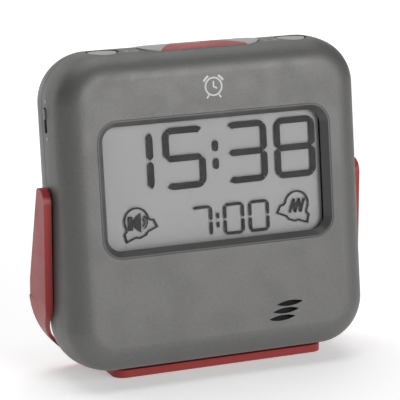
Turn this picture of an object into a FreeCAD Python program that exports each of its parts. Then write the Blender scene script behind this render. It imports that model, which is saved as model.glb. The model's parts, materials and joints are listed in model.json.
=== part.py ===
import FreeCAD, Part
import math
import os
import Sketcher

# Travel alarm clock: a rounded case with a display, leaning back inside a U-shaped stand.
#
# Two frames are used. Case pieces are drawn in the case's frame: X to the right, Y from the
# front plane towards the back, Z up from the middle of the case. The stand is drawn in the
# same frame before the case leans back. At the end every case piece is turned back by the
# lean angle and everything is raised until the stand's pads rest on Z = 0.

Vector = FreeCAD.Vector

doc = FreeCAD.newDocument("AlarmClock")

# ---------------------------------------------------------------- driving dimensions

DRIVING = {
    # case outline
    "case_width": 82.2,
    "case_height": 80.0,
    "case_corner": 12.5,
    "case_wall": 1.8,
    "seam_depth": 12.0,
    "seam_gap": 0.2,
    "layer_gap": 0.1,
    "wall_cut_over": 0.3,
    "side_cut_over": 1.0,
    "lean_angle": 7.5,
    # rounding from the side to the front face: a wide arc, then a tight one
    "front_side_arc": 37.0,
    "front_face_arc": 6.5,
    "front_turn": 10.0,
    # rounding from the side to the back face
    "rear_side_arc": 16.0,
    "rear_face_arc": 8.3,
    "rear_turn": 35.0,
    "rear_straight": 0.6,
    # lip of the rear shell inside the front shell
    "lip_play": 0.15,
    "lip_wall": 0.9,
    "lip_reach": 1.6,
    "lip_root_depth": 0.9,
    "lip_root_reach": 1.0,
    "lip_gap_margin": 0.4,
    "lip_gap_start": 0.02,
    # display
    "window_width": 63.2,
    "window_height": 34.4,
    "window_corner": 5.4,
    "window_rise": 6.2,
    "bezel_slope_side": 2.05,
    "bezel_slope_end": 1.8,
    "bezel_depth": 1.8,
    "bezel_rim": 0.5,
    "bezel_play": 0.1,
    "pane_thickness": 0.8,
    "lcd_width": 62.4,
    "lcd_height": 33.4,
    "lcd_corner": 0.6,
    "lcd_front": 3.0,
    "lcd_thickness": 2.0,
    "guide_width": 60.0,
    "guide_height": 30.0,
    "guide_rise": 7.3,
    "guide_front": 5.2,
    "guide_thickness": 2.4,
    "strip_width": 56.0,
    "strip_height": 2.2,
    "strip_rise": -9.3,
    "strip_thickness": 3.4,
    # boards
    "board_width": 66.0,
    "board_height": 39.0,
    "board_rise": 4.5,
    "board_front": 8.6,
    "board_thickness": 1.4,
    "board_corner": 1.5,
    "key_board_width": 58.0,
    "key_board_depth": 7.0,
    "key_board_middle": 9.2,
    "key_board_low": 33.6,
    "key_board_thickness": 1.2,
    # top keys
    "key_middle": 8.8,
    "key_low": 36.3,
    "key_head": 5.0,
    "key_flange": 0.6,
    "key_flange_depth": 5.4,
    "key_trim_turn": 40.0,
    "bar_width": 32.4,
    "bar_depth": 8.6,
    "bar_corner": 4.2,
    "bar_play": 0.25,
    "bar_proud": 0.25,
    "bar_flange_width": 34.8,
    "cap_front_half": 11.6,
    "cap_rear_half": 5.6,
    "cap_low": 38.3,
    "cap_play": 0.05,
    "cap_short": 1.0,
    "button_radius": 3.6,
    "button_hole_radius": 4.15,
    "button_place": 25.7,
    "button_sunk": 0.2,
    "button_flange_width": 9.4,
    "key_switch_size": 4.4,
    "key_switch_height": 0.9,
    # slide switch on the left side
    "slot_length": 6.4,
    "slot_width": 1.6,
    "slot_cut_over": 1.5,
    "slot_rounding": 0.6,
    "slot_place": 10.0,
    "slot_rise": 24.0,
    "knob_length": 2.6,
    "knob_corner": 0.4,
    "knob_play": 0.2,
    "knob_proud": 0.3,
    "knob_plate": 0.7,
    "knob_plate_gap": 0.55,
    "knob_grip_root": 0.8,
    "switch_gap": 0.2,
    "knob_plate_length": 8.6,
    "knob_plate_front": 1.8,
    "knob_plate_rear": 1.2,
    "slide_travel": 3.0,
    "slide_body_depth": 2.2,
    "slide_body_length": 13.0,
    "slide_body_front": 2.2,
    "slide_body_rear": 1.3,
    # sound
    "sound_slot_length": 7.5,
    "sound_slot_height": 1.45,
    "sound_slot_turn": 2.6,
    "sound_slot_step": 1.8,
    "sound_slot_shift": 1.15,
    "sound_slot_place": 16.9,
    "sound_slot_rise": -28.85,
    "mesh_width": 12.6,
    "mesh_height": 6.2,
    "mesh_thickness": 0.25,
    "mesh_gap": 0.05,
    "speaker_radius": 9.0,
    "speaker_place": 16.8,
    "speaker_rise": -24.4,
    "speaker_front": 2.7,
    "speaker_thickness": 2.2,
    "speaker_magnet_radius": 5.6,
    "speaker_magnet_depth": 1.8,
    # batteries and their bay
    "cell_radius": 5.25,
    "cell_length": 43.3,
    "cell_tip_radius": 1.9,
    "cell_tip": 0.9,
    "cell_middle": 17.5,
    "cell_pitch": 11.2,
    "bay_rise": -19.5,
    "bay_width": 51.2,
    "bay_height": 23.4,
    "bay_wall": 1.2,
    "bay_floor": 10.9,
    "bay_corner": 1.0,
    "bay_short": 0.6,
    "contact_thickness": 0.4,
    "contact_inset": 0.8,
    "contact_margin": 1.2,
    "contact_gap": 0.05,
    "spring_radius": 3.2,
    "spring_wire": 0.35,
    "spring_turns": 3.0,
    "spring_gap": 0.1,
    "door_overlap": 1.6,
    "door_thickness": 1.4,
    "door_play": 0.2,
    "door_corner": 2.2,
    "groove_depth": 0.5,
    "groove_half_length": 6.0,
    "groove_half_width": 0.35,
    "groove_first": 3.0,
    "groove_pitch": 1.5,
    "groove_step": 1.0,
    # rear keys
    "rear_key_radius": 2.3,
    "rear_key_hole": 2.6,
    "rear_key_pitch": 12.0,
    "rear_key_rise": 16.0,
    "rear_key_proud": 0.5,
    "rear_key_stem": 1.3,
    "rear_key_flange": 3.0,
    "rear_key_root": 1.0,
    "rear_key_flange_gap": 0.4,
    "rear_key_flange_depth": 1.0,
    "rear_key_end": 11.9,
    "rear_switch_height": 1.2,
    # vibration motor
    "motor_radius": 4.0,
    "motor_length": 14.0,
    "motor_place": -26.0,
    "motor_rise": 2.0,
    "motor_middle": 17.2,
    "motor_shaft": 0.6,
    "motor_bore_depth": 5.0,
    "shaft_end_gap": 0.3,
    "shaft_play": 0.05,
    "weight_radius": 3.6,
    "weight_length": 4.5,
    "weight_gap": 1.2,
    "weight_hub": 0.8,
    "cradle_wall": 1.2,
    "cradle_inset": 1.5,
    # case screws
    "post_place": 31.6,
    "post_top": 27.5,
    "post_bottom": -29.5,
    "post_radius": 2.6,
    "post_front": 1.2,
    "rear_post_extra": 0.5,
    "rear_post_short": 1.6,
    "screw_radius": 0.95,
    "screw_hole": 1.05,
    "screw_tip": 6.5,
    "screw_tip_room": 0.6,
    "screw_head_overlap": 0.2,
    "screw_slot_depth": 0.6,
    "screw_slot_half_width": 0.2,
    "screw_slot_reach": 0.6,
    "screw_head_radius": 1.8,
    "screw_head": 1.2,
    "screw_seat": 19.5,
    "screw_well": 2.2,
    # pivots
    "pivot_depth": 11.2,
    "pivot_rise": 4.05,
    "pin_radius": 1.6,
    "pin_inner_end": 37.0,
    "pin_cover": 1.0,
    "bush_play": 0.05,
    "bush_radius": 2.6,
    "bush_flange": 3.5,
    "bush_flange_wall": 0.8,
    "bush_collar": 2.9,
    "bush_collar_end": 41.3,
    "bush_room_play": 0.3,
    "bush_step": 0.6,
    "bush_grip": 0.1,
    # stand
    "arm_outer": 43.5,
    "stand_wall": 2.0,
    "stand_bend": 21.5,
    "stand_inner_bend": 16.8,
    "stand_drop": 43.8,
    "arm_top": 5.7,
    "arm_front_corner": 3.5,
    "arm_top_corner": 1.3,
    "arm_bend_corner": 5.0,
    "arm_front": 8.5,
    "arm_top_depth": 5.0,
    "arm_rear": 21.3,
    "arm_rear_slope": 0.4,
    "arm_rear_bend": -20.0,
    "arm_crease": 14.4,
    "arm_crease_cut": 0.35,
    "crease_lead": 4.0,
    "band_over": 0.5,
    "shape_over": 10.0,
    "shape_below": 2.0,
    "notch_start": -25.5,
    "notch_end": -34.8,
    "notch_depth": 9.4,
    "notch_corner": 4.0,
    "notch_lead": 6.0,
    "foot_half_width": 29.0,
    "foot_front": 4.3,
    "foot_rear": 32.0,
    "foot_corner": 3.0,
    "foot_shift": 2.5,
    "pad_width": 40.0,
    "pad_depth": 3.0,
    "pad_thickness": 0.8,
    "pad_sunk": 0.6,
    "pad_play": 0.1,
    "pad_front_place": 8.2,
    "pad_rear_place": 28.6,
}


def arc_inset(side_arc, face_arc, turn):
    """How far the face's edge stands in from the side, over a wide arc and a tight one."""
    angle = math.radians(turn)
    return side_arc * (1 - math.cos(angle)) + face_arc * math.cos(angle)


def arc_depth(side_arc, face_arc, turn):
    """How much depth the same two arcs take."""
    angle = math.radians(turn)
    return side_arc * math.sin(angle) + face_arc * (1 - math.sin(angle))


def worked_out(d):
    """Sizes that follow from the driving ones."""
    front_inset = arc_inset(d["front_side_arc"], d["front_face_arc"], d["front_turn"])
    rear_inset = arc_inset(d["rear_side_arc"], d["rear_face_arc"], d["rear_turn"])
    rear_depth = arc_depth(d["rear_side_arc"], d["rear_face_arc"], d["rear_turn"])
    case_depth = d["seam_depth"] + d["rear_straight"] + rear_depth
    lip_inset = d["case_wall"] + d["lip_play"]
    overlap = d["door_overlap"]
    shoulder = case_depth - d["case_wall"] - d["rear_key_root"]
    return {
        "front_inset": front_inset,
        "front_round_depth": arc_depth(d["front_side_arc"], d["front_face_arc"], d["front_turn"]),
        "rear_inset": rear_inset,
        "case_depth": case_depth,
        "front_core_width": d["case_width"] - 2 * front_inset,
        "front_core_height": d["case_height"] - 2 * front_inset,
        "front_core_corner": d["case_corner"] - front_inset,
        "rear_core_width": d["case_width"] - 2 * rear_inset,
        "rear_core_height": d["case_height"] - 2 * rear_inset,
        "rear_core_corner": d["case_corner"] - rear_inset,
        "front_shell_depth": d["seam_depth"] - d["seam_gap"] / 2,
        "rear_shell_start": d["seam_depth"] + d["seam_gap"] / 2,
        "rear_shell_depth": case_depth - d["seam_depth"] - d["seam_gap"] / 2,
        "lip_start": d["seam_depth"] - d["lip_reach"],
        "root_width": d["case_width"] - d["case_wall"],
        "root_height": d["case_height"] - d["case_wall"],
        "root_corner": d["case_corner"] - d["case_wall"] / 2,
        "bush_room": d["bush_flange"] + d["bush_room_play"],
        "lip_depth": d["lip_reach"] + d["lip_root_reach"],
        "lip_outer_width": d["case_width"] - 2 * lip_inset,
        "lip_outer_height": d["case_height"] - 2 * lip_inset,
        "lip_outer_corner": d["case_corner"] - lip_inset,
        "lip_inner_width": d["case_width"] - 2 * lip_inset - 2 * d["lip_wall"],
        "lip_inner_height": d["case_height"] - 2 * lip_inset - 2 * d["lip_wall"],
        "lip_inner_corner": d["case_corner"] - lip_inset - d["lip_wall"],
        "bezel_width": d["window_width"] - 2 * d["bezel_play"],
        "bezel_height": d["window_height"] - 2 * d["bezel_play"],
        "bezel_corner": d["window_corner"] - d["bezel_play"],
        "view_width": d["window_width"] - 2 * d["bezel_slope_side"],
        "view_height": d["window_height"] - 2 * d["bezel_slope_end"],
        "view_corner": d["window_corner"] - d["bezel_slope_end"],
        "pane_width": d["window_width"] - 2 * d["bezel_play"],
        "pane_height": d["window_height"] - 2 * d["bezel_play"],
        "pane_front": d["bezel_depth"] + d["layer_gap"],
        "strip_front": d["lcd_front"] + d["lcd_thickness"] + d["layer_gap"],
        "key_bar_length": d["bar_width"] + 2 * d["bar_play"],
        "key_bar_depth": d["bar_depth"] + 2 * d["bar_play"],
        "key_bar_corner": d["bar_corner"] + d["bar_play"],
        "key_switch_low": d["key_board_low"] + d["key_board_thickness"],
        "slide_slot_cut": d["case_wall"] + d["slot_cut_over"],
        "bay_outer_width": d["bay_width"] + 2 * d["bay_wall"],
        "bay_outer_height": d["bay_height"] + 2 * d["bay_wall"],
        "bay_outer_depth": case_depth - d["bay_floor"] - d["bay_short"],
        "bay_inner_start": d["bay_floor"] + d["bay_wall"],
        "door_width": d["bay_width"] + 2 * overlap,
        "door_height": d["bay_height"] + 2 * overlap,
        "door_front": case_depth - d["door_thickness"],
        "door_seat_width": d["bay_width"] + 2 * overlap + 2 * d["door_play"],
        "door_seat_height": d["bay_height"] + 2 * overlap + 2 * d["door_play"],
        "door_seat_corner": d["door_corner"] + d["door_play"],
        "door_seat_start": case_depth - d["door_thickness"] - d["door_play"],
        "cradle_half": d["motor_radius"] + d["cradle_wall"] + d["layer_gap"],
        "pad_low": -d["stand_drop"] - d["pad_thickness"] + d["pad_sunk"],
        "foot_width": 2 * d["foot_half_width"],
        "foot_depth": d["foot_rear"] - d["foot_front"],
        "foot_middle": (d["foot_rear"] + d["foot_front"]) / 2,
        "arm_front_start": d["arm_front"] - d["band_over"],
        "arm_depth": d["arm_rear"] - d["arm_front"] + 2 * d["band_over"],
        "foot_low": -d["stand_drop"],
        "crease_start": d["arm_rear_bend"] - d["crease_lead"],
        "pin_length": d["arm_outer"] - d["pin_inner_end"] - d["pin_cover"],
        "pad_bed_width": d["pad_width"] + 2 * d["pad_play"],
        "pad_bed_depth": d["pad_depth"] + 2 * d["pad_play"],
        "window_cut": d["case_wall"] + d["wall_cut_over"],
        "front_post_length": d["seam_depth"] - d["seam_gap"] / 2 - d["post_front"],
        "screw_hole_start": d["screw_tip"] - d["screw_tip_room"],
        "screw_hole_depth": d["seam_depth"] - d["screw_tip"] + d["screw_tip_room"],
        "rear_post_radius": d["post_radius"] + d["rear_post_extra"],
        "rear_post_length": case_depth - d["seam_depth"] - d["seam_gap"] / 2 - d["rear_post_short"],
        "mouth_width": d["window_width"] - 2 * d["bezel_rim"],
        "mouth_height": d["window_height"] - 2 * d["bezel_rim"],
        "mouth_corner": d["window_corner"] - d["bezel_rim"],
        "cap_seat": d["cap_low"] + d["cap_play"],
        "cap_head": d["key_head"] - d["cap_short"],
        "knob_plate_place": d["case_wall"] + d["knob_plate_gap"],
        "knob_grip_length": d["knob_proud"] + d["case_wall"] + d["knob_grip_root"],
        "mesh_front": d["case_wall"] + d["mesh_gap"],
        "speaker_magnet_start": d["speaker_front"] + d["speaker_thickness"],
        "door_groove_start": case_depth - d["groove_depth"],
        "rear_key_flange_start": shoulder - d["rear_key_flange_gap"],
        "rear_key_shoulder": shoulder,
        "rear_key_head": d["case_wall"] + d["rear_key_root"] + d["rear_key_proud"],
        "rear_key_stem_length": shoulder - d["rear_key_end"],
        "rear_switch_start": d["board_front"] + d["board_thickness"],
        "motor_bore": d["motor_shaft"] + d["shaft_play"],
        "motor_shaft_length": (d["motor_bore_depth"] - d["shaft_end_gap"]
                               + d["weight_gap"] + d["weight_length"]),
        "cradle_length": d["motor_length"] - 2 * d["cradle_inset"],
        "cradle_bore": d["motor_radius"] + d["layer_gap"],
        "screw_length": d["screw_seat"] - d["screw_tip"] + d["screw_head_overlap"],
        "screw_slot_start": d["screw_seat"] + d["screw_head"] - d["screw_slot_depth"],
        "bush_body_radius": d["bush_radius"] - d["bush_play"],
        "bush_body_length": d["case_wall"] + d["bush_step"] + 2 * d["bush_grip"],
        "bush_collar_length": d["bush_collar_end"] - d["case_width"] / 2 - d["bush_play"],
        "bush_bore": d["pin_radius"] + d["bush_play"],
    }


SIZE = dict(DRIVING)
SIZE.update(worked_out(DRIVING))

sheet = doc.addObject("Spreadsheet::Sheet", "Sizes")
for row, (word, value) in enumerate(SIZE.items(), start=1):
    sheet.set("A%d" % row, word)
    sheet.set("B%d" % row, "%.4f" % value)
    sheet.setAlias("B%d" % row, word)
doc.recompute()

# ---------------------------------------------------------------- helpers

case_pieces = []
stand_pieces = []


def new_body(label, group):
    body = doc.addObject("PartDesign::Body", label)
    body.Label = label
    body.AllowCompound = True
    group.append(body)
    return body


def plane_of(body, role):
    for feature in body.Origin.OriginFeatures:
        if feature.Role == role:
            return feature
    raise ValueError("no plane " + role)


def new_sketch(body, name, role, offset=0.0, word=None):
    """A sketch on an origin plane, moved along the plane's normal by a size or its negative.

    The normal of XZ_Plane points to -Y, so a depth Y = d is an offset of -d there.
    """
    sketch = body.newObject("Sketcher::SketchObject", body.Label + "_" + name)
    sketch.AttachmentSupport = [(plane_of(body, role), "")]
    sketch.MapMode = "FlatFace"
    sketch.AttachmentOffset = FreeCAD.Placement(Vector(0, 0, offset), FreeCAD.Rotation())
    if word:
        sign = "-" if role == "XZ_Plane" else ""
        sketch.setExpression("AttachmentOffset.Base.z", sign + "Sizes." + word)
    return sketch


def depth_sketch(body, name, word=None):
    """A sketch facing the front, at the depth named by word."""
    return new_sketch(body, name, "XZ_Plane", 0.0, word)


def level_sketch(body, name, word):
    """A sketch in plan, at the height named by word."""
    return new_sketch(body, name, "XY_Plane", 0.0, word)


def side_sketch(body, name, word=None):
    """A sketch seen from the side: its x is Y, its y is Z."""
    return new_sketch(body, name, "YZ_Plane", 0.0, word)


def drive(sketch, constraint, word):
    """Add a constraint whose value is bound to a cell of the sheet."""
    index = sketch.addConstraint(constraint)
    sketch.renameConstraint(index, word + "_%d" % index)
    sketch.setExpression("Constraints[%d]" % index, "Sizes." + word)


def rounded_rectangle(sketch, width, height, corner, place=0.0, rise=0.0):
    """A constrained rounded rectangle; width, height and corner name cells of the sheet."""
    half_w = SIZE[width] / 2
    half_h = SIZE[height] / 2
    r = SIZE[corner]
    first = sketch.GeometryCount
    lines = [
        ((-half_w + r, -half_h), (half_w - r, -half_h)),
        ((half_w, -half_h + r), (half_w, half_h - r)),
        ((half_w - r, half_h), (-half_w + r, half_h)),
        ((-half_w, half_h - r), (-half_w, -half_h + r)),
    ]
    centres = [
        (half_w - r, -half_h + r),
        (half_w - r, half_h - r),
        (-half_w + r, half_h - r),
        (-half_w + r, -half_h + r),
    ]
    for i in range(4):
        (x0, z0), (x1, z1) = lines[i]
        start = Vector(x0 + place, z0 + rise, 0)
        end = Vector(x1 + place, z1 + rise, 0)
        sketch.addGeometry(Part.LineSegment(start, end), False)
        middle = Vector(centres[i][0] + place, centres[i][1] + rise, 0)
        circle = Part.Circle(middle, Vector(0, 0, 1), r)
        begin = math.radians(-90 + 90 * i)
        sketch.addGeometry(Part.ArcOfCircle(circle, begin, begin + math.pi / 2), False)
    line = [first, first + 2, first + 4, first + 6]
    arc = [first + 1, first + 3, first + 5, first + 7]
    for i in range(4):
        sketch.addConstraint(Sketcher.Constraint("Tangent", line[i], 2, arc[i], 1))
        sketch.addConstraint(Sketcher.Constraint("Tangent", arc[i], 2, line[(i + 1) % 4], 1))
    for i in range(3):
        sketch.addConstraint(Sketcher.Constraint("Equal", arc[i], arc[i + 1]))
    sketch.addConstraint(Sketcher.Constraint("Horizontal", line[0]))
    sketch.addConstraint(Sketcher.Constraint("Horizontal", line[2]))
    sketch.addConstraint(Sketcher.Constraint("Vertical", line[1]))
    sketch.addConstraint(Sketcher.Constraint("Vertical", line[3]))
    drive(sketch, Sketcher.Constraint("DistanceX", line[3], 1, line[1], 1, 2 * half_w), width)
    drive(sketch, Sketcher.Constraint("DistanceY", line[0], 1, line[2], 1, 2 * half_h), height)
    drive(sketch, Sketcher.Constraint("Radius", arc[0], r), corner)
    right = half_w + place
    top = half_h + rise
    sketch.addConstraint(Sketcher.Constraint("DistanceX", -1, 1, line[1], 1, right))
    sketch.addConstraint(Sketcher.Constraint("DistanceY", -1, 1, line[2], 1, top))


def circle(sketch, radius, x, y):
    """A circle whose radius names a cell of the sheet."""
    middle = Vector(x, y, 0)
    index = sketch.addGeometry(Part.Circle(middle, Vector(0, 0, 1), SIZE[radius]), False)
    drive(sketch, Sketcher.Constraint("Radius", index, SIZE[radius]), radius)


def outline(sketch, corners):
    """A closed outline of straight sides; each corner is (x, y) or (x, y, radius)."""
    points = [Vector(c[0], c[1], 0) for c in corners]
    radii = [c[2] if len(c) > 2 else 0.0 for c in corners]
    count = len(points)
    starts = []
    ends = []
    arcs = []
    for i in range(count):
        before = (points[i - 1] - points[i]).normalize()
        after = (points[(i + 1) % count] - points[i]).normalize()
        half = before.getAngle(after) / 2
        if radii[i] == 0.0:
            starts.append(points[i])
            ends.append(points[i])
            arcs.append(None)
            continue
        reach = radii[i] / math.tan(half)
        middle = (before + after).normalize()
        near = points[i] + middle * (radii[i] / math.sin(half) - radii[i])
        starts.append(points[i] + before * reach)
        ends.append(points[i] + after * reach)
        arcs.append(Part.Arc(starts[i], near, ends[i]))
    for i in range(count):
        if arcs[i]:
            sketch.addGeometry(arcs[i], False)
        sketch.addGeometry(Part.LineSegment(ends[i], starts[(i + 1) % count]), False)


def rectangle(sketch, x0, x1, y0, y1):
    outline(sketch, [(x0, y0), (x1, y0), (x1, y1), (x0, y1)])


def pad(body, sketch, word, backwards=False):
    """Extrude a sketch; backwards means against its plane's normal."""
    feature = body.newObject("PartDesign::Pad", sketch.Name + "_pad")
    feature.Profile = sketch
    feature.Length = SIZE[word]
    feature.setExpression("Length", "Sizes." + word)
    feature.Reversed = backwards
    body.Tip = feature
    doc.recompute()
    return feature


def pocket(body, sketch, word=None, forwards=False, both=False):
    """Cut a sketch into the body; forwards means along its plane's normal."""
    before = body.Shape.Volume
    feature = body.newObject("PartDesign::Pocket", sketch.Name + "_pocket")
    feature.Profile = sketch
    if word:
        feature.Length = SIZE[word]
        feature.setExpression("Length", "Sizes." + word)
    else:
        feature.Type = "ThroughAll"
    feature.Reversed = forwards
    if both:
        feature.Midplane = True
    body.Tip = feature
    doc.recompute()
    if body.Shape.Volume > before - 0.001:
        raise ValueError(feature.Name + " cuts nothing")
    return feature


def plate(label, width, height, corner, front, depth, rise=0.0, place=0.0):
    """A flat piece facing the front."""
    body = new_body(label, case_pieces)
    sketch = depth_sketch(body, "outline", front)
    rounded_rectangle(sketch, width, height, corner, place, rise)
    pad(body, sketch, depth, backwards=True)
    return body


# ---------------------------------------------------------------- case shells


def edge_profile(sketch, base_depth, direction, face_depth, side_arc, face_arc, turn, inset):
    """The section of the case's rounded edge, at the top of the case.

    It runs from the face (front or back) over the tight arc and the wide arc to the side,
    then down the seam plane and back along the inset line. direction is +1 when the seam
    lies behind the face and -1 when it lies in front of it.
    """
    top = SIZE["case_height"] / 2
    angle = math.radians(SIZE[turn])
    wide = SIZE[side_arc]
    tight = SIZE[face_arc]
    inner = top - SIZE[inset]
    side_start = face_depth + direction * arc_depth(wide, tight, SIZE[turn])
    wide_middle = Vector(side_start, top - wide, 0)
    tight_middle = Vector(face_depth + direction * tight, inner, 0)

    def on_wide(a):
        return wide_middle + Vector(-direction * wide * math.sin(a), wide * math.cos(a), 0)

    def on_tight(a):
        return tight_middle + Vector(-direction * tight * math.sin(a), tight * math.cos(a), 0)

    face_point = Vector(face_depth, inner, 0)
    side_point = Vector(side_start, top, 0)
    seam_top = Vector(base_depth, top, 0)
    seam_low = Vector(base_depth, inner, 0)
    between = (angle + math.pi / 2) / 2
    sketch.addGeometry(Part.Arc(face_point, on_tight(between), on_tight(angle)), False)
    sketch.addGeometry(Part.Arc(on_wide(angle), on_wide(angle / 2), side_point), False)
    sketch.addGeometry(Part.LineSegment(side_point, seam_top), False)
    sketch.addGeometry(Part.LineSegment(seam_top, seam_low), False)
    sketch.addGeometry(Part.LineSegment(seam_low, face_point), False)


def shell_blank(body, front):
    """The solid half of the case: a core block and its rounded edge swept around it."""
    if front:
        core = depth_sketch(body, "core")
        rounded_rectangle(core, "front_core_width", "front_core_height", "front_core_corner")
        pad(body, core, "front_shell_depth", backwards=True)
        profile = side_sketch(body, "edge")
        edge_profile(profile, SIZE["front_shell_depth"], 1, 0.0,
                     "front_side_arc", "front_face_arc", "front_turn", "front_inset")
    else:
        core = depth_sketch(body, "core", "rear_shell_start")
        rounded_rectangle(core, "rear_core_width", "rear_core_height", "rear_core_corner")
        pad(body, core, "rear_shell_depth", backwards=True)
        profile = side_sketch(body, "edge")
        edge_profile(profile, SIZE["rear_shell_start"], -1, SIZE["case_depth"],
                     "rear_side_arc", "rear_face_arc", "rear_turn", "rear_inset")
    sweep = body.newObject("PartDesign::AdditivePipe", body.Label + "_edge_sweep")
    sweep.Profile = profile
    sweep.Spine = (core, [])
    body.Tip = sweep
    doc.recompute()
    return sweep


def flat_face_name(shape, depth):
    """The name of the largest flat face that lies in the plane Y = depth."""
    best = None
    for number, face in enumerate(shape.Faces, start=1):
        box = face.BoundBox
        if abs(box.YMin - depth) < 1e-4 and abs(box.YMax - depth) < 1e-4:
            if best is None or face.Area > best[0]:
                best = (face.Area, "Face%d" % number)
    return best[1]


def hollow(body, depth):
    """Turn a shell blank into a shell that is open on the plane Y = depth."""
    tip = body.Tip
    feature = body.newObject("PartDesign::Thickness", body.Label + "_hollow")
    feature.Base = (tip, [flat_face_name(tip.Shape, depth)])
    feature.Value = SIZE["case_wall"]
    feature.setExpression("Value", "Sizes.case_wall")
    feature.Reversed = True
    body.Tip = feature
    doc.recompute()
    if feature.Shape.BoundBox.XLength > SIZE["case_width"] + 0.01:
        feature.Reversed = False
        doc.recompute()


# ---------------------------------------------------------------- holes shared by both shells


def key_places():
    """Sideways places of the two round keys."""
    return (-SIZE["button_place"], SIZE["button_place"])


def cut_top_keys(shell):
    """Openings for the long bar and the two round keys, across the seam."""
    plan = level_sketch(shell, "key_openings", "post_top")
    rounded_rectangle(plan, "key_bar_length", "key_bar_depth", "key_bar_corner",
                      0.0, SIZE["key_middle"])
    for place in key_places():
        circle(plan, "button_hole_radius", place, SIZE["key_middle"])
    pocket(shell, plan, forwards=True)


def cut_pivots(shell):
    """Round openings in the sides for the pivot bushes, clamped between the shells."""
    section = new_sketch(shell, "pivot_openings", "YZ_Plane", 0.0)
    circle(section, "bush_radius", SIZE["pivot_depth"], SIZE["pivot_rise"])
    pocket(shell, section, both=True)


def post_places():
    """Places of the four screw posts."""
    return [(x, z) for x in (-SIZE["post_place"], SIZE["post_place"])
            for z in (SIZE["post_bottom"], SIZE["post_top"])]


def circles_at_posts(sketch, radius):
    for x, z in post_places():
        circle(sketch, radius, x, z)


# ---------------------------------------------------------------- front shell


def sound_slot(sketch, number):
    """One lens-shaped slot of the row of three; number is -1, 0 or 1 from the top down."""
    half = SIZE["sound_slot_length"] / 2
    rise = SIZE["sound_slot_height"] / 2
    turn = math.radians(SIZE["sound_slot_turn"])
    along = Vector(math.cos(turn), math.sin(turn), 0)
    across = Vector(-math.sin(turn), math.cos(turn), 0)
    middle = Vector(SIZE["sound_slot_place"] - number * SIZE["sound_slot_shift"],
                    SIZE["sound_slot_rise"] - number * SIZE["sound_slot_step"], 0)
    left = middle - along * half
    right = middle + along * half
    sketch.addGeometry(Part.Arc(left, middle + across * rise, right), False)
    sketch.addGeometry(Part.Arc(right, middle - across * rise, left), False)


def slide_slot(shell):
    """The slot of the slide switch in the left side."""
    half_w = SIZE["slot_width"] / 2
    half_l = SIZE["slot_length"] / 2
    middle = SIZE["slot_place"]
    rise = SIZE["slot_rise"]
    section = new_sketch(shell, "slide_slot", "YZ_Plane", -SIZE["case_width"] / 2 - SIZE["side_cut_over"])
    corner = half_w * SIZE["slot_rounding"]
    outline(section, [(middle - half_w, rise - half_l, corner), (middle + half_w, rise - half_l, corner),
                      (middle + half_w, rise + half_l, corner), (middle - half_w, rise + half_l, corner)])
    pocket(shell, section, "slide_slot_cut", forwards=True)


def make_front_shell():
    shell = new_body("front_shell", case_pieces)
    shell_blank(shell, True)
    hollow(shell, SIZE["front_shell_depth"])
    posts = depth_sketch(shell, "posts", "post_front")
    circles_at_posts(posts, "post_radius")
    pad(shell, posts, "front_post_length", backwards=True)
    window = depth_sketch(shell, "window")
    rounded_rectangle(window, "window_width", "window_height", "window_corner",
                      0.0, SIZE["window_rise"])
    pocket(shell, window, "window_cut")
    holes = depth_sketch(shell, "screw_holes", "screw_hole_start")
    circles_at_posts(holes, "screw_hole")
    pocket(shell, holes, "screw_hole_depth")
    slots = depth_sketch(shell, "sound_slots")
    for number in (-1, 0, 1):
        sound_slot(slots, number)
    pocket(shell, slots, "window_cut")
    cut_top_keys(shell)
    cut_pivots(shell)
    slide_slot(shell)
    return shell


# ---------------------------------------------------------------- rear shell


def clear_lip(shell):
    """Cut the lip away beside the slide switch and around the pivot bushes."""
    inside = SIZE["case_width"] / 2 - SIZE["case_wall"] - SIZE["lip_gap_start"]
    switch = new_sketch(shell, "lip_gap", "YZ_Plane", -inside)
    half = SIZE["slide_body_length"] / 2 + SIZE["lip_gap_margin"]
    over = SIZE["side_cut_over"]
    rectangle(switch, SIZE["lip_start"] - over, SIZE["seam_depth"] + 2 * over,
              SIZE["slot_rise"] - half, SIZE["slot_rise"] + half)
    pocket(shell, switch, "slide_body_depth", forwards=True)
    for way, name in ((-1, "lip_gap_left"), (1, "lip_gap_right")):
        ring = new_sketch(shell, name, "YZ_Plane", way * inside)
        circle(ring, "bush_room", SIZE["pivot_depth"], SIZE["pivot_rise"])
        pocket(shell, ring, "slide_body_depth", forwards=(way < 0))


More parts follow.
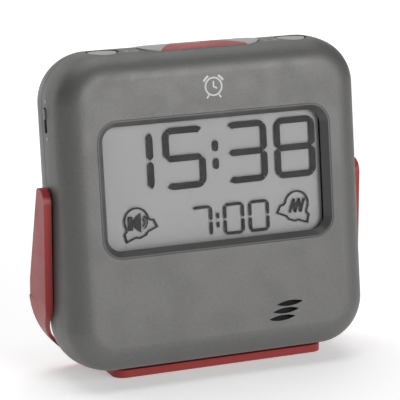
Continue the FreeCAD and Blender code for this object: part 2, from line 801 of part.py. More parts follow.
def make_rear_shell():
    shell = new_body("rear_shell", case_pieces)
    shell_blank(shell, False)
    hollow(shell, SIZE["rear_shell_start"])
    root = depth_sketch(shell, "lip_root", "rear_shell_start")
    rounded_rectangle(root, "root_width", "root_height", "root_corner")
    rounded_rectangle(root, "lip_inner_width", "lip_inner_height", "lip_inner_corner")
    pad(shell, root, "lip_root_depth", backwards=True)
    lip = depth_sketch(shell, "lip", "lip_start")
    rounded_rectangle(lip, "lip_outer_width", "lip_outer_height", "lip_outer_corner")
    rounded_rectangle(lip, "lip_inner_width", "lip_inner_height", "lip_inner_corner")
    pad(shell, lip, "lip_depth", backwards=True)
    clear_lip(shell)
    bay = depth_sketch(shell, "bay", "bay_floor")
    rounded_rectangle(bay, "bay_outer_width", "bay_outer_height", "bay_corner", 0.0, SIZE["bay_rise"])
    pad(shell, bay, "bay_outer_depth", backwards=True)
    posts = depth_sketch(shell, "posts", "rear_shell_start")
    circles_at_posts(posts, "rear_post_radius")
    pad(shell, posts, "rear_post_length", backwards=True)
    room = depth_sketch(shell, "bay_room", "bay_inner_start")
    rounded_rectangle(room, "bay_width", "bay_height", "bay_corner", 0.0, SIZE["bay_rise"])
    pocket(shell, room)
    seat = depth_sketch(shell, "door_seat", "door_seat_start")
    rounded_rectangle(seat, "door_seat_width", "door_seat_height", "door_seat_corner",
                      0.0, SIZE["bay_rise"])
    pocket(shell, seat)
    wells = depth_sketch(shell, "screw_wells", "screw_seat")
    circles_at_posts(wells, "screw_well")
    pocket(shell, wells)
    holes = depth_sketch(shell, "screw_holes", "seam_depth")
    circles_at_posts(holes, "screw_hole")
    pocket(shell, holes)
    keys = depth_sketch(shell, "rear_key_holes", "rear_key_end")
    for place in rear_key_places():
        circle(keys, "rear_key_hole", place, SIZE["rear_key_rise"])
    pocket(shell, keys)
    cut_top_keys(shell)
    cut_pivots(shell)
    return shell


# ---------------------------------------------------------------- display


def make_bezel():
    """The dark frame in the window; its inner faces slope down to the view opening."""
    body = new_body("window_bezel", case_pieces)
    outer = depth_sketch(body, "outer")
    rounded_rectangle(outer, "bezel_width", "bezel_height", "bezel_corner", 0.0, SIZE["window_rise"])
    pad(body, outer, "bezel_depth", backwards=True)
    mouth = depth_sketch(body, "mouth")
    rounded_rectangle(mouth, "mouth_width", "mouth_height", "mouth_corner", 0.0, SIZE["window_rise"])
    view = depth_sketch(body, "view", "bezel_depth")
    rounded_rectangle(view, "view_width", "view_height", "view_corner", 0.0, SIZE["window_rise"])
    slope = body.newObject("PartDesign::SubtractiveLoft", "window_bezel_slope")
    slope.Profile = mouth
    slope.Sections = [view]
    slope.Ruled = True
    body.Tip = slope
    doc.recompute()
    return body


def make_display():
    make_bezel()
    plate("display_window", "pane_width", "pane_height", "bezel_corner",
          "pane_front", "pane_thickness", SIZE["window_rise"])
    plate("lcd_glass", "lcd_width", "lcd_height", "lcd_corner",
          "lcd_front", "lcd_thickness", SIZE["window_rise"])
    plate("backlight_guide", "guide_width", "guide_height", "board_corner",
          "guide_front", "guide_thickness", SIZE["guide_rise"])
    plate("display_contact_strip", "strip_width", "strip_height", "lcd_corner",
          "strip_front", "strip_thickness", SIZE["strip_rise"])


# ---------------------------------------------------------------- boards


def make_boards():
    plate("main_board", "board_width", "board_height", "board_corner",
          "board_front", "board_thickness", SIZE["board_rise"])
    board = new_body("key_board", case_pieces)
    plan = level_sketch(board, "outline", "key_board_low")
    rounded_rectangle(plan, "key_board_width", "key_board_depth", "board_corner",
                      0.0, SIZE["key_board_middle"])
    pad(board, plan, "key_board_thickness")
    places = {"left_key_switch": -SIZE["button_place"], "snooze_switch": 0.0,
              "right_key_switch": SIZE["button_place"]}
    for label, place in places.items():
        switch = new_body(label, case_pieces)
        base = level_sketch(switch, "outline", "key_switch_low")
        rounded_rectangle(base, "key_switch_size", "key_switch_size", "lcd_corner",
                          place, SIZE["key_board_middle"])
        pad(switch, base, "key_switch_height")


# ---------------------------------------------------------------- keys on top


def trim_to_case(body, raise_by):
    """Cut a key's head to the case's rounded top edge, moved up by raise_by."""
    top = SIZE["case_height"] / 2
    start = SIZE["front_round_depth"]
    turn = math.radians(SIZE["front_turn"])
    steep = math.radians(SIZE["key_trim_turn"])
    wide_middle = Vector(start, top - SIZE["front_side_arc"], 0)
    wide = SIZE["front_side_arc"] + raise_by
    tight_middle = Vector(SIZE["front_face_arc"], top - SIZE["front_inset"], 0)
    tight = SIZE["front_face_arc"] + raise_by

    def on_arc(middle, reach, angle):
        return middle + Vector(-reach * math.sin(angle), reach * math.cos(angle), 0)

    low = on_arc(tight_middle, tight, steep)
    between = on_arc(tight_middle, tight, (turn + steep) / 2)
    joined = on_arc(wide_middle, wide, turn)
    high = Vector(start, top + raise_by, 0)
    back = Vector(SIZE["case_depth"], top + raise_by, 0)
    ceiling = top + SIZE["key_head"]
    section = side_sketch(body, "top_trim")
    section.addGeometry(Part.Arc(low, between, joined), False)
    section.addGeometry(Part.Arc(joined, on_arc(wide_middle, wide, turn / 2), high), False)
    section.addGeometry(Part.LineSegment(high, back), False)
    section.addGeometry(Part.LineSegment(back, Vector(back.x, ceiling, 0)), False)
    section.addGeometry(Part.LineSegment(Vector(back.x, ceiling, 0), Vector(low.x, ceiling, 0)), False)
    section.addGeometry(Part.LineSegment(Vector(low.x, ceiling, 0), low), False)
    pocket(body, section, both=True)


def make_snooze_bar():
    """The long bar: a grey key with a tapered bed for the coloured cap."""
    bar = new_body("snooze_bar", case_pieces)
    plan = level_sketch(bar, "outline", "key_low")
    rounded_rectangle(plan, "bar_width", "bar_depth", "bar_corner", 0.0, SIZE["key_middle"])
    pad(bar, plan, "key_head")
    flange = level_sketch(bar, "flange", "key_low")
    rounded_rectangle(flange, "bar_flange_width", "key_flange_depth", "board_corner",
                      0.0, SIZE["key_middle"])
    pad(bar, flange, "key_flange")
    trim_to_case(bar, SIZE["bar_proud"])
    bed = level_sketch(bar, "cap_bed", "cap_low")
    cap_outline(bed, 0.0)
    pocket(bar, bed, forwards=True)


def cap_outline(sketch, play):
    """The cap seen from above: wide at the front, narrow at the back, as deep as the bar."""
    front = SIZE["key_middle"] - SIZE["bar_depth"] / 2
    back = SIZE["key_middle"] + SIZE["bar_depth"] / 2
    wide = SIZE["cap_front_half"] - play
    narrow = SIZE["cap_rear_half"] - play
    outline(sketch, [(-wide, front), (wide, front), (narrow, back), (-narrow, back)])


def make_snooze_cap():
    cap = new_body("snooze_cap", case_pieces)
    plan = level_sketch(cap, "outline", "cap_seat")
    cap_outline(plan, SIZE["cap_play"])
    pad(cap, plan, "cap_head")
    trim_to_case(cap, SIZE["bar_proud"])


def make_round_key(label, place):
    key = new_body(label, case_pieces)
    plan = level_sketch(key, "head", "key_low")
    circle(plan, "button_radius", place, SIZE["key_middle"])
    pad(key, plan, "key_head")
    flange = level_sketch(key, "flange", "key_low")
    rounded_rectangle(flange, "button_flange_width", "key_flange_depth", "board_corner",
                      place, SIZE["key_middle"])
    pad(key, flange, "key_flange")
    trim_to_case(key, -SIZE["button_sunk"])


# ---------------------------------------------------------------- slide switch


def make_slide_switch():
    side = SIZE["case_width"] / 2
    knob = new_body("slide_knob", case_pieces)
    base = new_sketch(knob, "plate", "YZ_Plane", -side + SIZE["knob_plate_place"])
    half = SIZE["knob_plate_length"] / 2
    middle = SIZE["slot_place"]
    rise = SIZE["slot_rise"] + SIZE["slide_travel"] / 2
    rectangle(base, middle - SIZE["knob_plate_front"], middle + SIZE["knob_plate_rear"],
              rise - half, rise + half)
    pad(knob, base, "knob_plate")
    grip = new_sketch(knob, "grip", "YZ_Plane", -side - SIZE["knob_proud"])
    half_w = SIZE["slot_width"] / 2 - SIZE["knob_play"]
    half_l = SIZE["knob_length"] / 2
    corner = SIZE["knob_corner"]
    outline(grip, [(middle - half_w, rise - half_l, corner), (middle + half_w, rise - half_l, corner),
                   (middle + half_w, rise + half_l, corner), (middle - half_w, rise + half_l, corner)])
    pad(knob, grip, "knob_grip_length")
    switch = new_body("slide_switch", case_pieces)
    start = SIZE["knob_plate_place"] + SIZE["knob_plate"] + SIZE["switch_gap"]
    block = new_sketch(switch, "block", "YZ_Plane", -side + start)
    half = SIZE["slide_body_length"] / 2
    rectangle(block, middle - SIZE["slide_body_front"], middle + SIZE["slide_body_rear"],
              SIZE["slot_rise"] - half, SIZE["slot_rise"] + half)
    pad(switch, block, "slide_body_depth")


# ---------------------------------------------------------------- sound


def make_sound():
    plate("sound_mesh", "mesh_width", "mesh_height", "lcd_corner", "mesh_front", "mesh_thickness",
          SIZE["sound_slot_rise"], SIZE["sound_slot_place"])
    speaker = new_body("speaker", case_pieces)
    rim = depth_sketch(speaker, "rim", "speaker_front")
    circle(rim, "speaker_radius", SIZE["speaker_place"], SIZE["speaker_rise"])
    pad(speaker, rim, "speaker_thickness", backwards=True)
    magnet = depth_sketch(speaker, "magnet", "speaker_magnet_start")
    circle(magnet, "speaker_magnet_radius", SIZE["speaker_place"], SIZE["speaker_rise"])
    pad(speaker, magnet, "speaker_magnet_depth", backwards=True)


# ---------------------------------------------------------------- batteries


def cell_rise(number):
    return SIZE["bay_rise"] + (0.5 - number) * SIZE["cell_pitch"]


def make_cell(number):
    """A small cylindrical cell lying across the case; its tip points left or right in turn."""
    way = 1 if number == 0 else -1
    cell = new_body("battery_%d" % (number + 1), case_pieces)
    half = SIZE["cell_length"] / 2
    can = new_sketch(cell, "can", "YZ_Plane", -half)
    circle(can, "cell_radius", SIZE["cell_middle"], cell_rise(number))
    pad(cell, can, "cell_length")
    tip = new_sketch(cell, "tip", "YZ_Plane", way * half)
    circle(tip, "cell_tip_radius", SIZE["cell_middle"], cell_rise(number))
    pad(cell, tip, "cell_tip", backwards=(way < 0))


def contact_plate(label, offset, low, high):
    """A thin contact plate on an end wall of the bay, from height low to height high."""
    body = new_body(label, case_pieces)
    face = new_sketch(body, "outline", "YZ_Plane", offset)
    corner = SIZE["contact_inset"]
    reach = SIZE["cell_radius"] - corner
    near = SIZE["cell_middle"] - reach
    far = SIZE["cell_middle"] + reach
    outline(face, [(near, low, corner), (far, low, corner), (far, high, corner), (near, high, corner)])
    pad(body, face, "contact_thickness")


def make_spring(number):
    """The coil spring that presses on a cell's flat end."""
    way = 1 if number == 0 else -1
    gap = SIZE["spring_gap"]
    wall = SIZE["bay_width"] / 2 - SIZE["contact_thickness"] - gap
    cell_end = SIZE["cell_length"] / 2
    wire = SIZE["spring_wire"]
    length = wall - cell_end - 2 * wire - gap
    turns = SIZE["spring_turns"]
    helix = Part.makeHelix(length / turns, length, SIZE["spring_radius"])
    start = Vector(SIZE["spring_radius"], 0, 0)
    section = Part.Wire([Part.makeCircle(wire, start, Vector(0, 1, 0))])
    coil = Part.Wire(helix.Edges).makePipeShell([section], True, True)
    spring = doc.addObject("Part::Feature", "battery_spring_%d" % (number + 1))
    spring.Label = spring.Name
    turned = coil.copy()
    turned.rotate(Vector(0, 0, 0), Vector(0, 1, 0), 90)
    far_end = way < 0
    begin = cell_end + wire + gap / 2 if far_end else -wall + wire
    turned.translate(Vector(begin, SIZE["cell_middle"], cell_rise(number)))
    spring.Shape = turned
    case_pieces.append(spring)


def make_batteries():
    wall = SIZE["bay_width"] / 2
    thickness = SIZE["contact_thickness"]
    for number in (0, 1):
        make_cell(number)
        make_spring(number)
    low = SIZE["bay_rise"] - SIZE["bay_height"] / 2 + SIZE["contact_margin"]
    high = SIZE["bay_rise"] + SIZE["bay_height"] / 2 - SIZE["contact_margin"]
    gap = SIZE["contact_gap"]
    contact_plate("contact_left", -wall + gap, low, high)
    contact_plate("contact_right", wall - thickness - gap, low, high)


def make_door():
    """The battery door: a plate with a finger groove near its top edge."""
    door = plate("battery_door", "door_width", "door_height", "door_corner",
                 "door_front", "door_thickness", SIZE["bay_rise"])
    groove = depth_sketch(door, "groove", "door_groove_start")
    top = SIZE["bay_rise"] + SIZE["door_height"] / 2
    for step in range(3):
        rise = top - SIZE["groove_first"] - SIZE["groove_pitch"] * step
        half = SIZE["groove_half_length"] - SIZE["groove_step"] * step
        width = SIZE["groove_half_width"]
        rectangle(groove, -half, half, rise - width, rise + width)
    pocket(door, groove)


# ---------------------------------------------------------------- rear keys


def rear_key_places():
    return [number * SIZE["rear_key_pitch"] for number in (-1, 0, 1)]


def make_rear_keys():
    """Three small round keys on the back, each with a stem down to its switch on the board."""
    labels = ("rear_key_left", "rear_key_middle", "rear_key_right")
    for label, place in zip(labels, rear_key_places()):
        key = new_body(label, case_pieces)
        head = depth_sketch(key, "head", "rear_key_shoulder")
        circle(head, "rear_key_radius", place, SIZE["rear_key_rise"])
        pad(key, head, "rear_key_head", backwards=True)
        flange = depth_sketch(key, "flange", "rear_key_flange_start")
        circle(flange, "rear_key_flange", place, SIZE["rear_key_rise"])
        pad(key, flange, "rear_key_flange_depth", backwards=True)
        stem = depth_sketch(key, "stem", "rear_key_end")
        circle(stem, "rear_key_stem", place, SIZE["rear_key_rise"])
        pad(key, stem, "rear_key_stem_length", backwards=True)
    switches = new_body("rear_switches", case_pieces)
    bases = depth_sketch(switches, "bases", "rear_switch_start")
    for place in rear_key_places():
        rounded_rectangle(bases, "key_switch_size", "key_switch_size", "lcd_corner",
                          place, SIZE["rear_key_rise"])
    pad(switches, bases, "rear_switch_height", backwards=True)


# ---------------------------------------------------------------- vibration motor


def make_motor():
    """The motor, its cradle and its weight: a half disc that hangs plumb when at rest."""
    middle = SIZE["motor_middle"]
    rise = SIZE["motor_rise"]
    start = SIZE["motor_place"]
    end = start + SIZE["motor_length"]
    can = new_body("vibration_motor", case_pieces)
    section = new_sketch(can, "can", "YZ_Plane", start)
    circle(section, "motor_radius", middle, rise)
    pad(can, section, "motor_length")
    bore = new_sketch(can, "bore", "YZ_Plane", end - SIZE["motor_bore_depth"])
    circle(bore, "motor_bore", middle, rise)
    pocket(can, bore, "motor_bore_depth", forwards=True)
    weight = new_body("motor_weight", case_pieces)
    shaft = new_sketch(weight, "shaft", "YZ_Plane",
                       end - SIZE["motor_bore_depth"] + SIZE["shaft_end_gap"])
    circle(shaft, "motor_shaft", middle, rise)
    pad(weight, shaft, "motor_shaft_length")
    half = new_sketch(weight, "half_disc", "YZ_Plane", end + SIZE["weight_gap"])
    reach = SIZE["weight_radius"]
    lean = math.radians(SIZE["lean_angle"])
    plumb = Vector(math.sin(lean), -math.cos(lean), 0)
    level = Vector(math.cos(lean), math.sin(lean), 0)
    axis_point = Vector(middle, rise, 0)
    chord = axis_point - plumb * (SIZE["motor_shaft"] + SIZE["weight_hub"])
    left = chord - level * reach
    right = chord + level * reach
    bottom = axis_point + plumb * reach
    half.addGeometry(Part.Arc(left, bottom, right), False)
    half.addGeometry(Part.LineSegment(right, left), False)
    pad(weight, half, "weight_length")
    cradle = new_body("motor_cradle", case_pieces)
    frame = new_sketch(cradle, "frame", "YZ_Plane", start + SIZE["cradle_inset"])
    wall = SIZE["cradle_half"]
    rectangle(frame, middle - wall, middle, rise - wall, rise + wall)
    pad(cradle, frame, "cradle_length")
    room = new_sketch(cradle, "room", "YZ_Plane", start)
    circle(room, "cradle_bore", middle, rise)
    pocket(cradle, room, "motor_length", forwards=True)


# ---------------------------------------------------------------- screws and bushes


def make_screws():
    """Four pan-head screws that hold the shells together, heads in wells at the back."""
    screws = new_body("case_screws", case_pieces)
    shanks = depth_sketch(screws, "shanks", "screw_tip")
    circles_at_posts(shanks, "screw_radius")
    pad(screws, shanks, "screw_length", backwards=True)
    heads = depth_sketch(screws, "heads", "screw_seat")
    circles_at_posts(heads, "screw_head_radius")
    pad(screws, heads, "screw_head", backwards=True)
    slots = depth_sketch(screws, "cross_slots", "screw_slot_start")
    for x, z in post_places():
        arm = SIZE["screw_head_radius"] * SIZE["screw_slot_reach"]
        half = SIZE["screw_slot_half_width"]
        outline(slots, [(x - arm, z - half), (x - half, z - half), (x - half, z - arm), (x + half, z - arm),
                        (x + half, z - half), (x + arm, z - half), (x + arm, z + half), (x + half, z + half),
                        (x + half, z + arm), (x - half, z + arm), (x - half, z + half), (x - arm, z + half)])
    pocket(screws, slots)


def make_bush(label, way):
    """A pivot bush: clamped in the side wall, with a flange inside and a collar outside."""
    bush = new_body(label, case_pieces)
    wall_in = SIZE["case_width"] / 2 - SIZE["case_wall"]
    step = SIZE["bush_step"]
    parts = (
        ("flange", wall_in - SIZE["bush_flange_wall"] - step, "bush_flange", "bush_flange_wall"),
        ("body", wall_in - step - SIZE["bush_grip"], "bush_body_radius", "bush_body_length"),
        ("collar", SIZE["case_width"] / 2 + SIZE["bush_play"], "bush_collar", "bush_collar_length"),
    )
    for name, start, radius, length in parts:
        section = new_sketch(bush, name, "YZ_Plane", way * start)
        circle(section, radius, SIZE["pivot_depth"], SIZE["pivot_rise"])
        pad(bush, section, length, backwards=(way < 0))
    bore = new_sketch(bush, "bore", "YZ_Plane", 0.0)
    circle(bore, "bush_bore", SIZE["pivot_depth"], SIZE["pivot_rise"])
    pocket(bush, bore, both=True)


# ---------------------------------------------------------------- stand


def lean_back(y, z):
    """Where a point of the case's frame lies once the case leans back."""
    angle = math.radians(SIZE["lean_angle"])
    return (y * math.cos(angle) + z * math.sin(angle), z * math.cos(angle) - y * math.sin(angle))


def make_stand():
    """A U-shaped band: two arms beside the case, bends under its corners and a flat foot."""
    stand = new_body("stand_bracket", stand_pieces)
    outer = SIZE["arm_outer"]
    inner = outer - SIZE["stand_wall"]
    floor = -SIZE["stand_drop"]
    top = SIZE["arm_top"]
    bend = SIZE["stand_bend"]
    inner_bend = SIZE["stand_inner_bend"]
    band = depth_sketch(stand, "band", "arm_front_start")
    outline(band, [(-outer, top), (-outer, floor, bend), (outer, floor, bend), (outer, top),
                   (inner, top), (inner, floor + SIZE["stand_wall"], inner_bend),
                   (-inner, floor + SIZE["stand_wall"], inner_bend), (-inner, top)])
    pad(stand, band, "arm_depth", backwards=True)
    shape = side_sketch(stand, "arm_shape")
    front = SIZE["arm_front"]
    rear = SIZE["arm_rear"]
    notch = front + SIZE["notch_depth"]
    below = floor - SIZE["shape_below"]
    over = SIZE["shape_over"]
    outline(shape, [(front, top, SIZE["arm_front_corner"]),
                    (front + SIZE["arm_top_depth"], top, SIZE["arm_top_corner"]),
                    (rear - SIZE["arm_rear_slope"], SIZE["arm_rear_bend"], SIZE["arm_bend_corner"]),
                    (rear, below), (notch, below),
                    (notch, SIZE["notch_end"], SIZE["notch_corner"]),
                    (front, SIZE["notch_start"], SIZE["notch_lead"])])
    rectangle(shape, front - over, rear + over, below - over, top + over)
    pocket(stand, shape, both=True)
    crease = level_sketch(stand, "crease", "crease_start")
    edge = SIZE["arm_crease"]
    for way in (-1, 1):
        outline(crease, [(way * outer, edge), (way * (outer + 1), edge), (way * (outer + 1), rear + 1),
                         (way * (outer - SIZE["arm_crease_cut"]), rear + 1)])
    pocket(stand, crease, forwards=True)
    foot = level_sketch(stand, "foot", "foot_low")
    rounded_rectangle(foot, "foot_width", "foot_depth", "foot_corner",
                      SIZE["foot_shift"], SIZE["foot_middle"])
    pad(stand, foot, "stand_wall")
    pivot_y, pivot_z = lean_back(SIZE["pivot_depth"], SIZE["pivot_rise"])
    for way in (-1, 1):
        stud = new_sketch(stand, "stud_right" if way > 0 else "stud_left", "YZ_Plane",
                          way * SIZE["pin_inner_end"])
        circle(stud, "pin_radius", pivot_y, pivot_z)
        pad(stand, stud, "pin_length", backwards=(way < 0))
    beds = level_sketch(stand, "pad_beds", "foot_low")
    for place in (SIZE["pad_front_place"], SIZE["pad_rear_place"]):
        rounded_rectangle(beds, "pad_bed_width", "pad_bed_depth", "lcd_corner", 0.0, place)
    pocket(stand, beds, "pad_sunk", forwards=True)
    return stand


def make_stand_pads():
    for label, place in (("foot_pad_front", "pad_front_place"), ("foot_pad_rear", "pad_rear_place")):
        strip = new_body(label, stand_pieces)
        plan = level_sketch(strip, "outline", "pad_low")
        rounded_rectangle(plan, "pad_width", "pad_depth", "lcd_corner", 0.0, SIZE[place])
        pad(strip, plan, "pad_thickness")


# ---------------------------------------------------------------- build


make_front_shell()
make_rear_shell()
make_display()
make_boards()
make_snooze_bar()
make_snooze_cap()
make_round_key("left_button", -SIZE["button_place"])
make_round_key("right_button", SIZE["button_place"])
make_slide_switch()
make_sound()
make_batteries()
make_door()
make_rear_keys()
make_motor()
make_screws()
make_bush("pivot_bush_left", -1)
make_bush("pivot_bush_right", 1)
make_stand()
make_stand_pads()
doc.recompute()

# ---------------------------------------------------------------- place, check and write

height = SIZE["stand_drop"] + SIZE["pad_thickness"] - SIZE["pad_sunk"]
lean = FreeCAD.Rotation(Vector(1, 0, 0), -SIZE["lean_angle"])
leaning = FreeCAD.Placement(Vector(0, 0, height), lean)
upright = FreeCAD.Placement(Vector(0, 0, height), FreeCAD.Rotation())
for piece in case_pieces:
    piece.Placement = leaning.multiply(piece.Placement)
for piece in stand_pieces:
    piece.Placement = upright.multiply(piece.Placement)
doc.recompute()

pieces = case_pieces + stand_pieces
whole = FreeCAD.BoundBox()
for piece in pieces:
    whole.add(piece.Shape.BoundBox)
centre_shift = Vector(0, -(whole.YMin + whole.YMax) / 2, 0)
for piece in pieces:
    placement = piece.Placement
    placement.Base = placement.Base + centre_shift
    piece.Placement = placement
doc.recompute()

for thing in doc.Objects:
    if "Invalid" in thing.State or "Error" in thing.State:
        raise ValueError(thing.Name + " failed: " + str(thing.State))
for piece in pieces:
    if piece.Shape.isNull() or not piece.Shape.isValid():
        raise ValueError(piece.Label + " has no valid shape")

os.makedirs("parts", exist_ok=True)
for piece in pieces:
    piece.Shape.exportStep("parts/" + piece.Label + ".step")
pivot_y, pivot_z = lean_back(SIZE["pivot_depth"], SIZE["pivot_rise"])
print("pivot at Y %.3f Z %.3f" % (pivot_y + centre_shift.y, pivot_z + height))
print("case origin at Y %.3f Z %.3f" % (centre_shift.y, height))
print(len(pieces), "pieces", whole)
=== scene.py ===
import bmesh
import bpy
import json
import math
from mathutils import Matrix, Vector
from mathutils.bvhtree import BVHTree

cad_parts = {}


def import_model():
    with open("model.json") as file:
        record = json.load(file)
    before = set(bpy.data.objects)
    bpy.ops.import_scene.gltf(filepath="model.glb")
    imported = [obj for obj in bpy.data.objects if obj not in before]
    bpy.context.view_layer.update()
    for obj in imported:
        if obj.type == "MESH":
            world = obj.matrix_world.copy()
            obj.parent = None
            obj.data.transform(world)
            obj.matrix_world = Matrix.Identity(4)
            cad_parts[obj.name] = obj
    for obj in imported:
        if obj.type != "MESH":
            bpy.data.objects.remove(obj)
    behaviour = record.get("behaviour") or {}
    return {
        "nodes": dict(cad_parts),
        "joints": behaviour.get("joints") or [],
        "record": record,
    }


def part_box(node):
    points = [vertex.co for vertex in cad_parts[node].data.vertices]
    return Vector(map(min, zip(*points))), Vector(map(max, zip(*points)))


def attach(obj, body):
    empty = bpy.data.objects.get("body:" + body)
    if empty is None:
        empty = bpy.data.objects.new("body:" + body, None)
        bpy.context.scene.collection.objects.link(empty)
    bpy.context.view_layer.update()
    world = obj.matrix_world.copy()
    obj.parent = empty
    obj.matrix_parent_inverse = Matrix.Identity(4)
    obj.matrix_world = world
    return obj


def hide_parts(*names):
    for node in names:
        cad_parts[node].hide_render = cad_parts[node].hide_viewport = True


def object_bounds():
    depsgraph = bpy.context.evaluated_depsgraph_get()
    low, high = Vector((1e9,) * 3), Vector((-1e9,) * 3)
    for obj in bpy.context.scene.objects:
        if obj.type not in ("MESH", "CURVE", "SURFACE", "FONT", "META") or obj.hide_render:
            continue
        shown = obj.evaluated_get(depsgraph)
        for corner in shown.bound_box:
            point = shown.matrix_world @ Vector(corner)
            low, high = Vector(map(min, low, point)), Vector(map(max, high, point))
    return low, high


# Digital travel alarm clock: an anthracite case that leans back between the arms of a red stand.
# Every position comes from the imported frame. Flat artwork is drawn in millimetres on a face,
# with X to the right and Y up it, and then placed on that face.

MM = 0.001

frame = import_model()
cad_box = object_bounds()
nodes = frame["nodes"]
joints = {joint["name"]: joint for joint in frame["joints"]}

# The case's own directions, read from the joints of its keys.
RIGHT = Vector((1, 0, 0))
UP = -Vector(joints["snooze_press"]["axis"])
FORWARD = Vector(joints["rear_middle_press"]["axis"])
BACK = -FORWARD


def reach(node, direction):
    """How far a node's points go along a direction."""
    return max(vertex.co.dot(direction) for vertex in nodes[node].data.vertices)


def middle(node, direction):
    """Where the middle of a node lies along a direction."""
    return (reach(node, direction) - reach(node, -direction)) / 2


def face_place(origin, right, up):
    """The matrix of a face: X to its right, Y up it and Z out of it."""
    columns = Matrix((right, up, right.cross(up))).transposed().to_4x4()
    return Matrix.Translation(origin) @ columns


CASE_MIDDLE = FORWARD * reach("front_shell", FORWARD) + UP * middle("front_shell", UP)


# ---------------------------------------------------------------- material nodes

# How far a normal turns where an edge starts to look rubbed, and where it is fully rubbed.
SLIGHTLY_TURNED = 0.004
WELL_TURNED = 0.10


class Recipe:
    """A material with one Principled shader, and short calls for the nodes that feed it."""

    def __init__(self, name, **settings):
        self.material = bpy.data.materials.new(name)
        self.material.use_nodes = True
        self.tree = self.material.node_tree
        self.tree.nodes.clear()
        self.shader = self.tree.nodes.new("ShaderNodeBsdfPrincipled")
        output = self.tree.nodes.new("ShaderNodeOutputMaterial")
        self.tree.links.new(self.shader.outputs[0], output.inputs["Surface"])
        self.places = self.tree.nodes.new("ShaderNodeTexCoord").outputs["Object"]
        for socket, value in settings.items():
            self.feed(self.shader.inputs[socket.replace("_", " ")], value)

    def feed(self, socket, value):
        """Links a node's output to a socket, or sets the socket's own number or colour."""
        if isinstance(value, bpy.types.NodeSocket):
            self.tree.links.new(value, socket)
        elif isinstance(value, tuple) and len(value) == 3 and socket.type == "RGBA":
            socket.default_value = (*value, 1)
        else:
            socket.default_value = value

    def node(self, kind, out=0, inputs=None, **settings):
        """A new node with these settings and inputs, given back as one of its outputs."""
        made = self.tree.nodes.new(kind)
        for name, value in settings.items():
            setattr(made, name, value)
        for name, value in (inputs or {}).items():
            self.feed(made.inputs[name], value)
        return made.outputs[out]

    def stretched(self, x, y, z):
        """The piece's coordinates, scaled along each axis."""
        inputs = {0: self.places, 1: (x, y, z)}
        return self.node("ShaderNodeVectorMath", 0, inputs, operation="MULTIPLY")

    def noise(self, size, detail=2.0, places=None):
        """Soft noise from 0 to 1, with features of about this size in millimetres."""
        inputs = {"Vector": places or self.places, "Scale": 1 / (size * MM), "Detail": detail}
        return self.node("ShaderNodeTexNoise", 0, inputs)

    def cells(self, size, **settings):
        """Distance from the middle of cells of about this size in millimetres."""
        inputs = {"Vector": self.places, "Scale": 1 / (size * MM)}
        return self.node("ShaderNodeTexVoronoi", "Distance", inputs, **settings)

    def waves(self, pitch, direction):
        """Smooth bands with this pitch in millimetres. 10 is the wave node's own factor."""
        inputs = {"Vector": self.places, "Scale": math.pi / 10 / (pitch * MM)}
        return self.node("ShaderNodeTexWave", 1, inputs, bands_direction=direction)

    def range(self, value, low, high, to_low=0.0, to_high=1.0):
        """The value eased from one range to another, and held at its ends."""
        inputs = {0: value, 1: low, 2: high, 3: to_low, 4: to_high}
        return self.node("ShaderNodeMapRange", 0, inputs, interpolation_type="SMOOTHSTEP")

    def math(self, operation, a, b):
        """A sum, product or comparison of two values."""
        return self.node("ShaderNodeMath", 0, {0: a, 1: b}, operation=operation)

    def mix(self, share, a, b):
        """Colour a where the share is 0, and b where it is 1."""
        return self.node("ShaderNodeMix", 2, {0: share, 6: a, 7: b}, data_type="RGBA")

    def edges(self, radius):
        """1 on edges of about this radius in millimetres and 0 on flat faces."""
        rounded = self.node("ShaderNodeBevel", 0, {"Radius": radius * MM}, samples=4)
        plain = self.node("ShaderNodeNewGeometry", "Normal")
        facing = self.node("ShaderNodeVectorMath", "Value", {0: rounded, 1: plain},
                           operation="DOT_PRODUCT")
        turned = self.math("SUBTRACT", 1.0, facing)
        return self.range(turned, SLIGHTLY_TURNED, WELL_TURNED)

    def bump(self, height, depth):
        """Feeds the shader's normal with a relief of this depth in millimetres."""
        inputs = {"Height": height, "Distance": depth * MM}
        self.feed(self.shader.inputs["Normal"], self.node("ShaderNodeBump", 0, inputs))

    def done(self, colour=None, roughness=None):
        """Feeds the colour and the roughness, and gives back the finished material."""
        if colour is not None:
            self.feed(self.shader.inputs["Base Color"], colour)
        if roughness is not None:
            self.feed(self.shader.inputs["Roughness"], roughness)
        return self.material


def grey(value):
    return (value, value, value)


def tinted(colour, factor):
    return tuple(min(1.0, channel * factor) for channel in colour)


def moulded(name, colour, rough, speck=0.0, speck_size=0.45, grain=0.012, grain_size=0.35,
            wear=0.25, cloud=0.06, **settings):
    """Moulded plastic: slow clouding, metallic specks, a fine spark grain and rubbed edges."""
    made = Recipe(name, **settings)
    clouding = made.noise(14.0, 3.0)
    ground = made.mix(clouding, tinted(colour, 1 - cloud), tinted(colour, 1 + cloud))
    if speck:
        flakes = made.range(made.noise(speck_size, 1.0), 0.40, 0.62)
        ground = made.mix(flakes, made.mix(speck, ground, tinted(colour, 0.35)),
                          made.mix(speck, ground, tinted(colour, 2.2)))
    rubbed = made.math("MULTIPLY", made.edges(0.35), made.range(made.noise(2.5), 0.35, 0.7))
    worn = made.mix(made.math("MULTIPLY", rubbed, wear), ground, tinted(colour, 2.0))
    smears = made.range(made.noise(9.0, 4.0), 0.35, 0.7, rough - 0.04, rough + 0.05)
    made.bump(made.noise(grain_size, 2.0), grain)
    return made.done(worn, made.math("SUBTRACT", smears, made.math("MULTIPLY", rubbed, 0.08)))


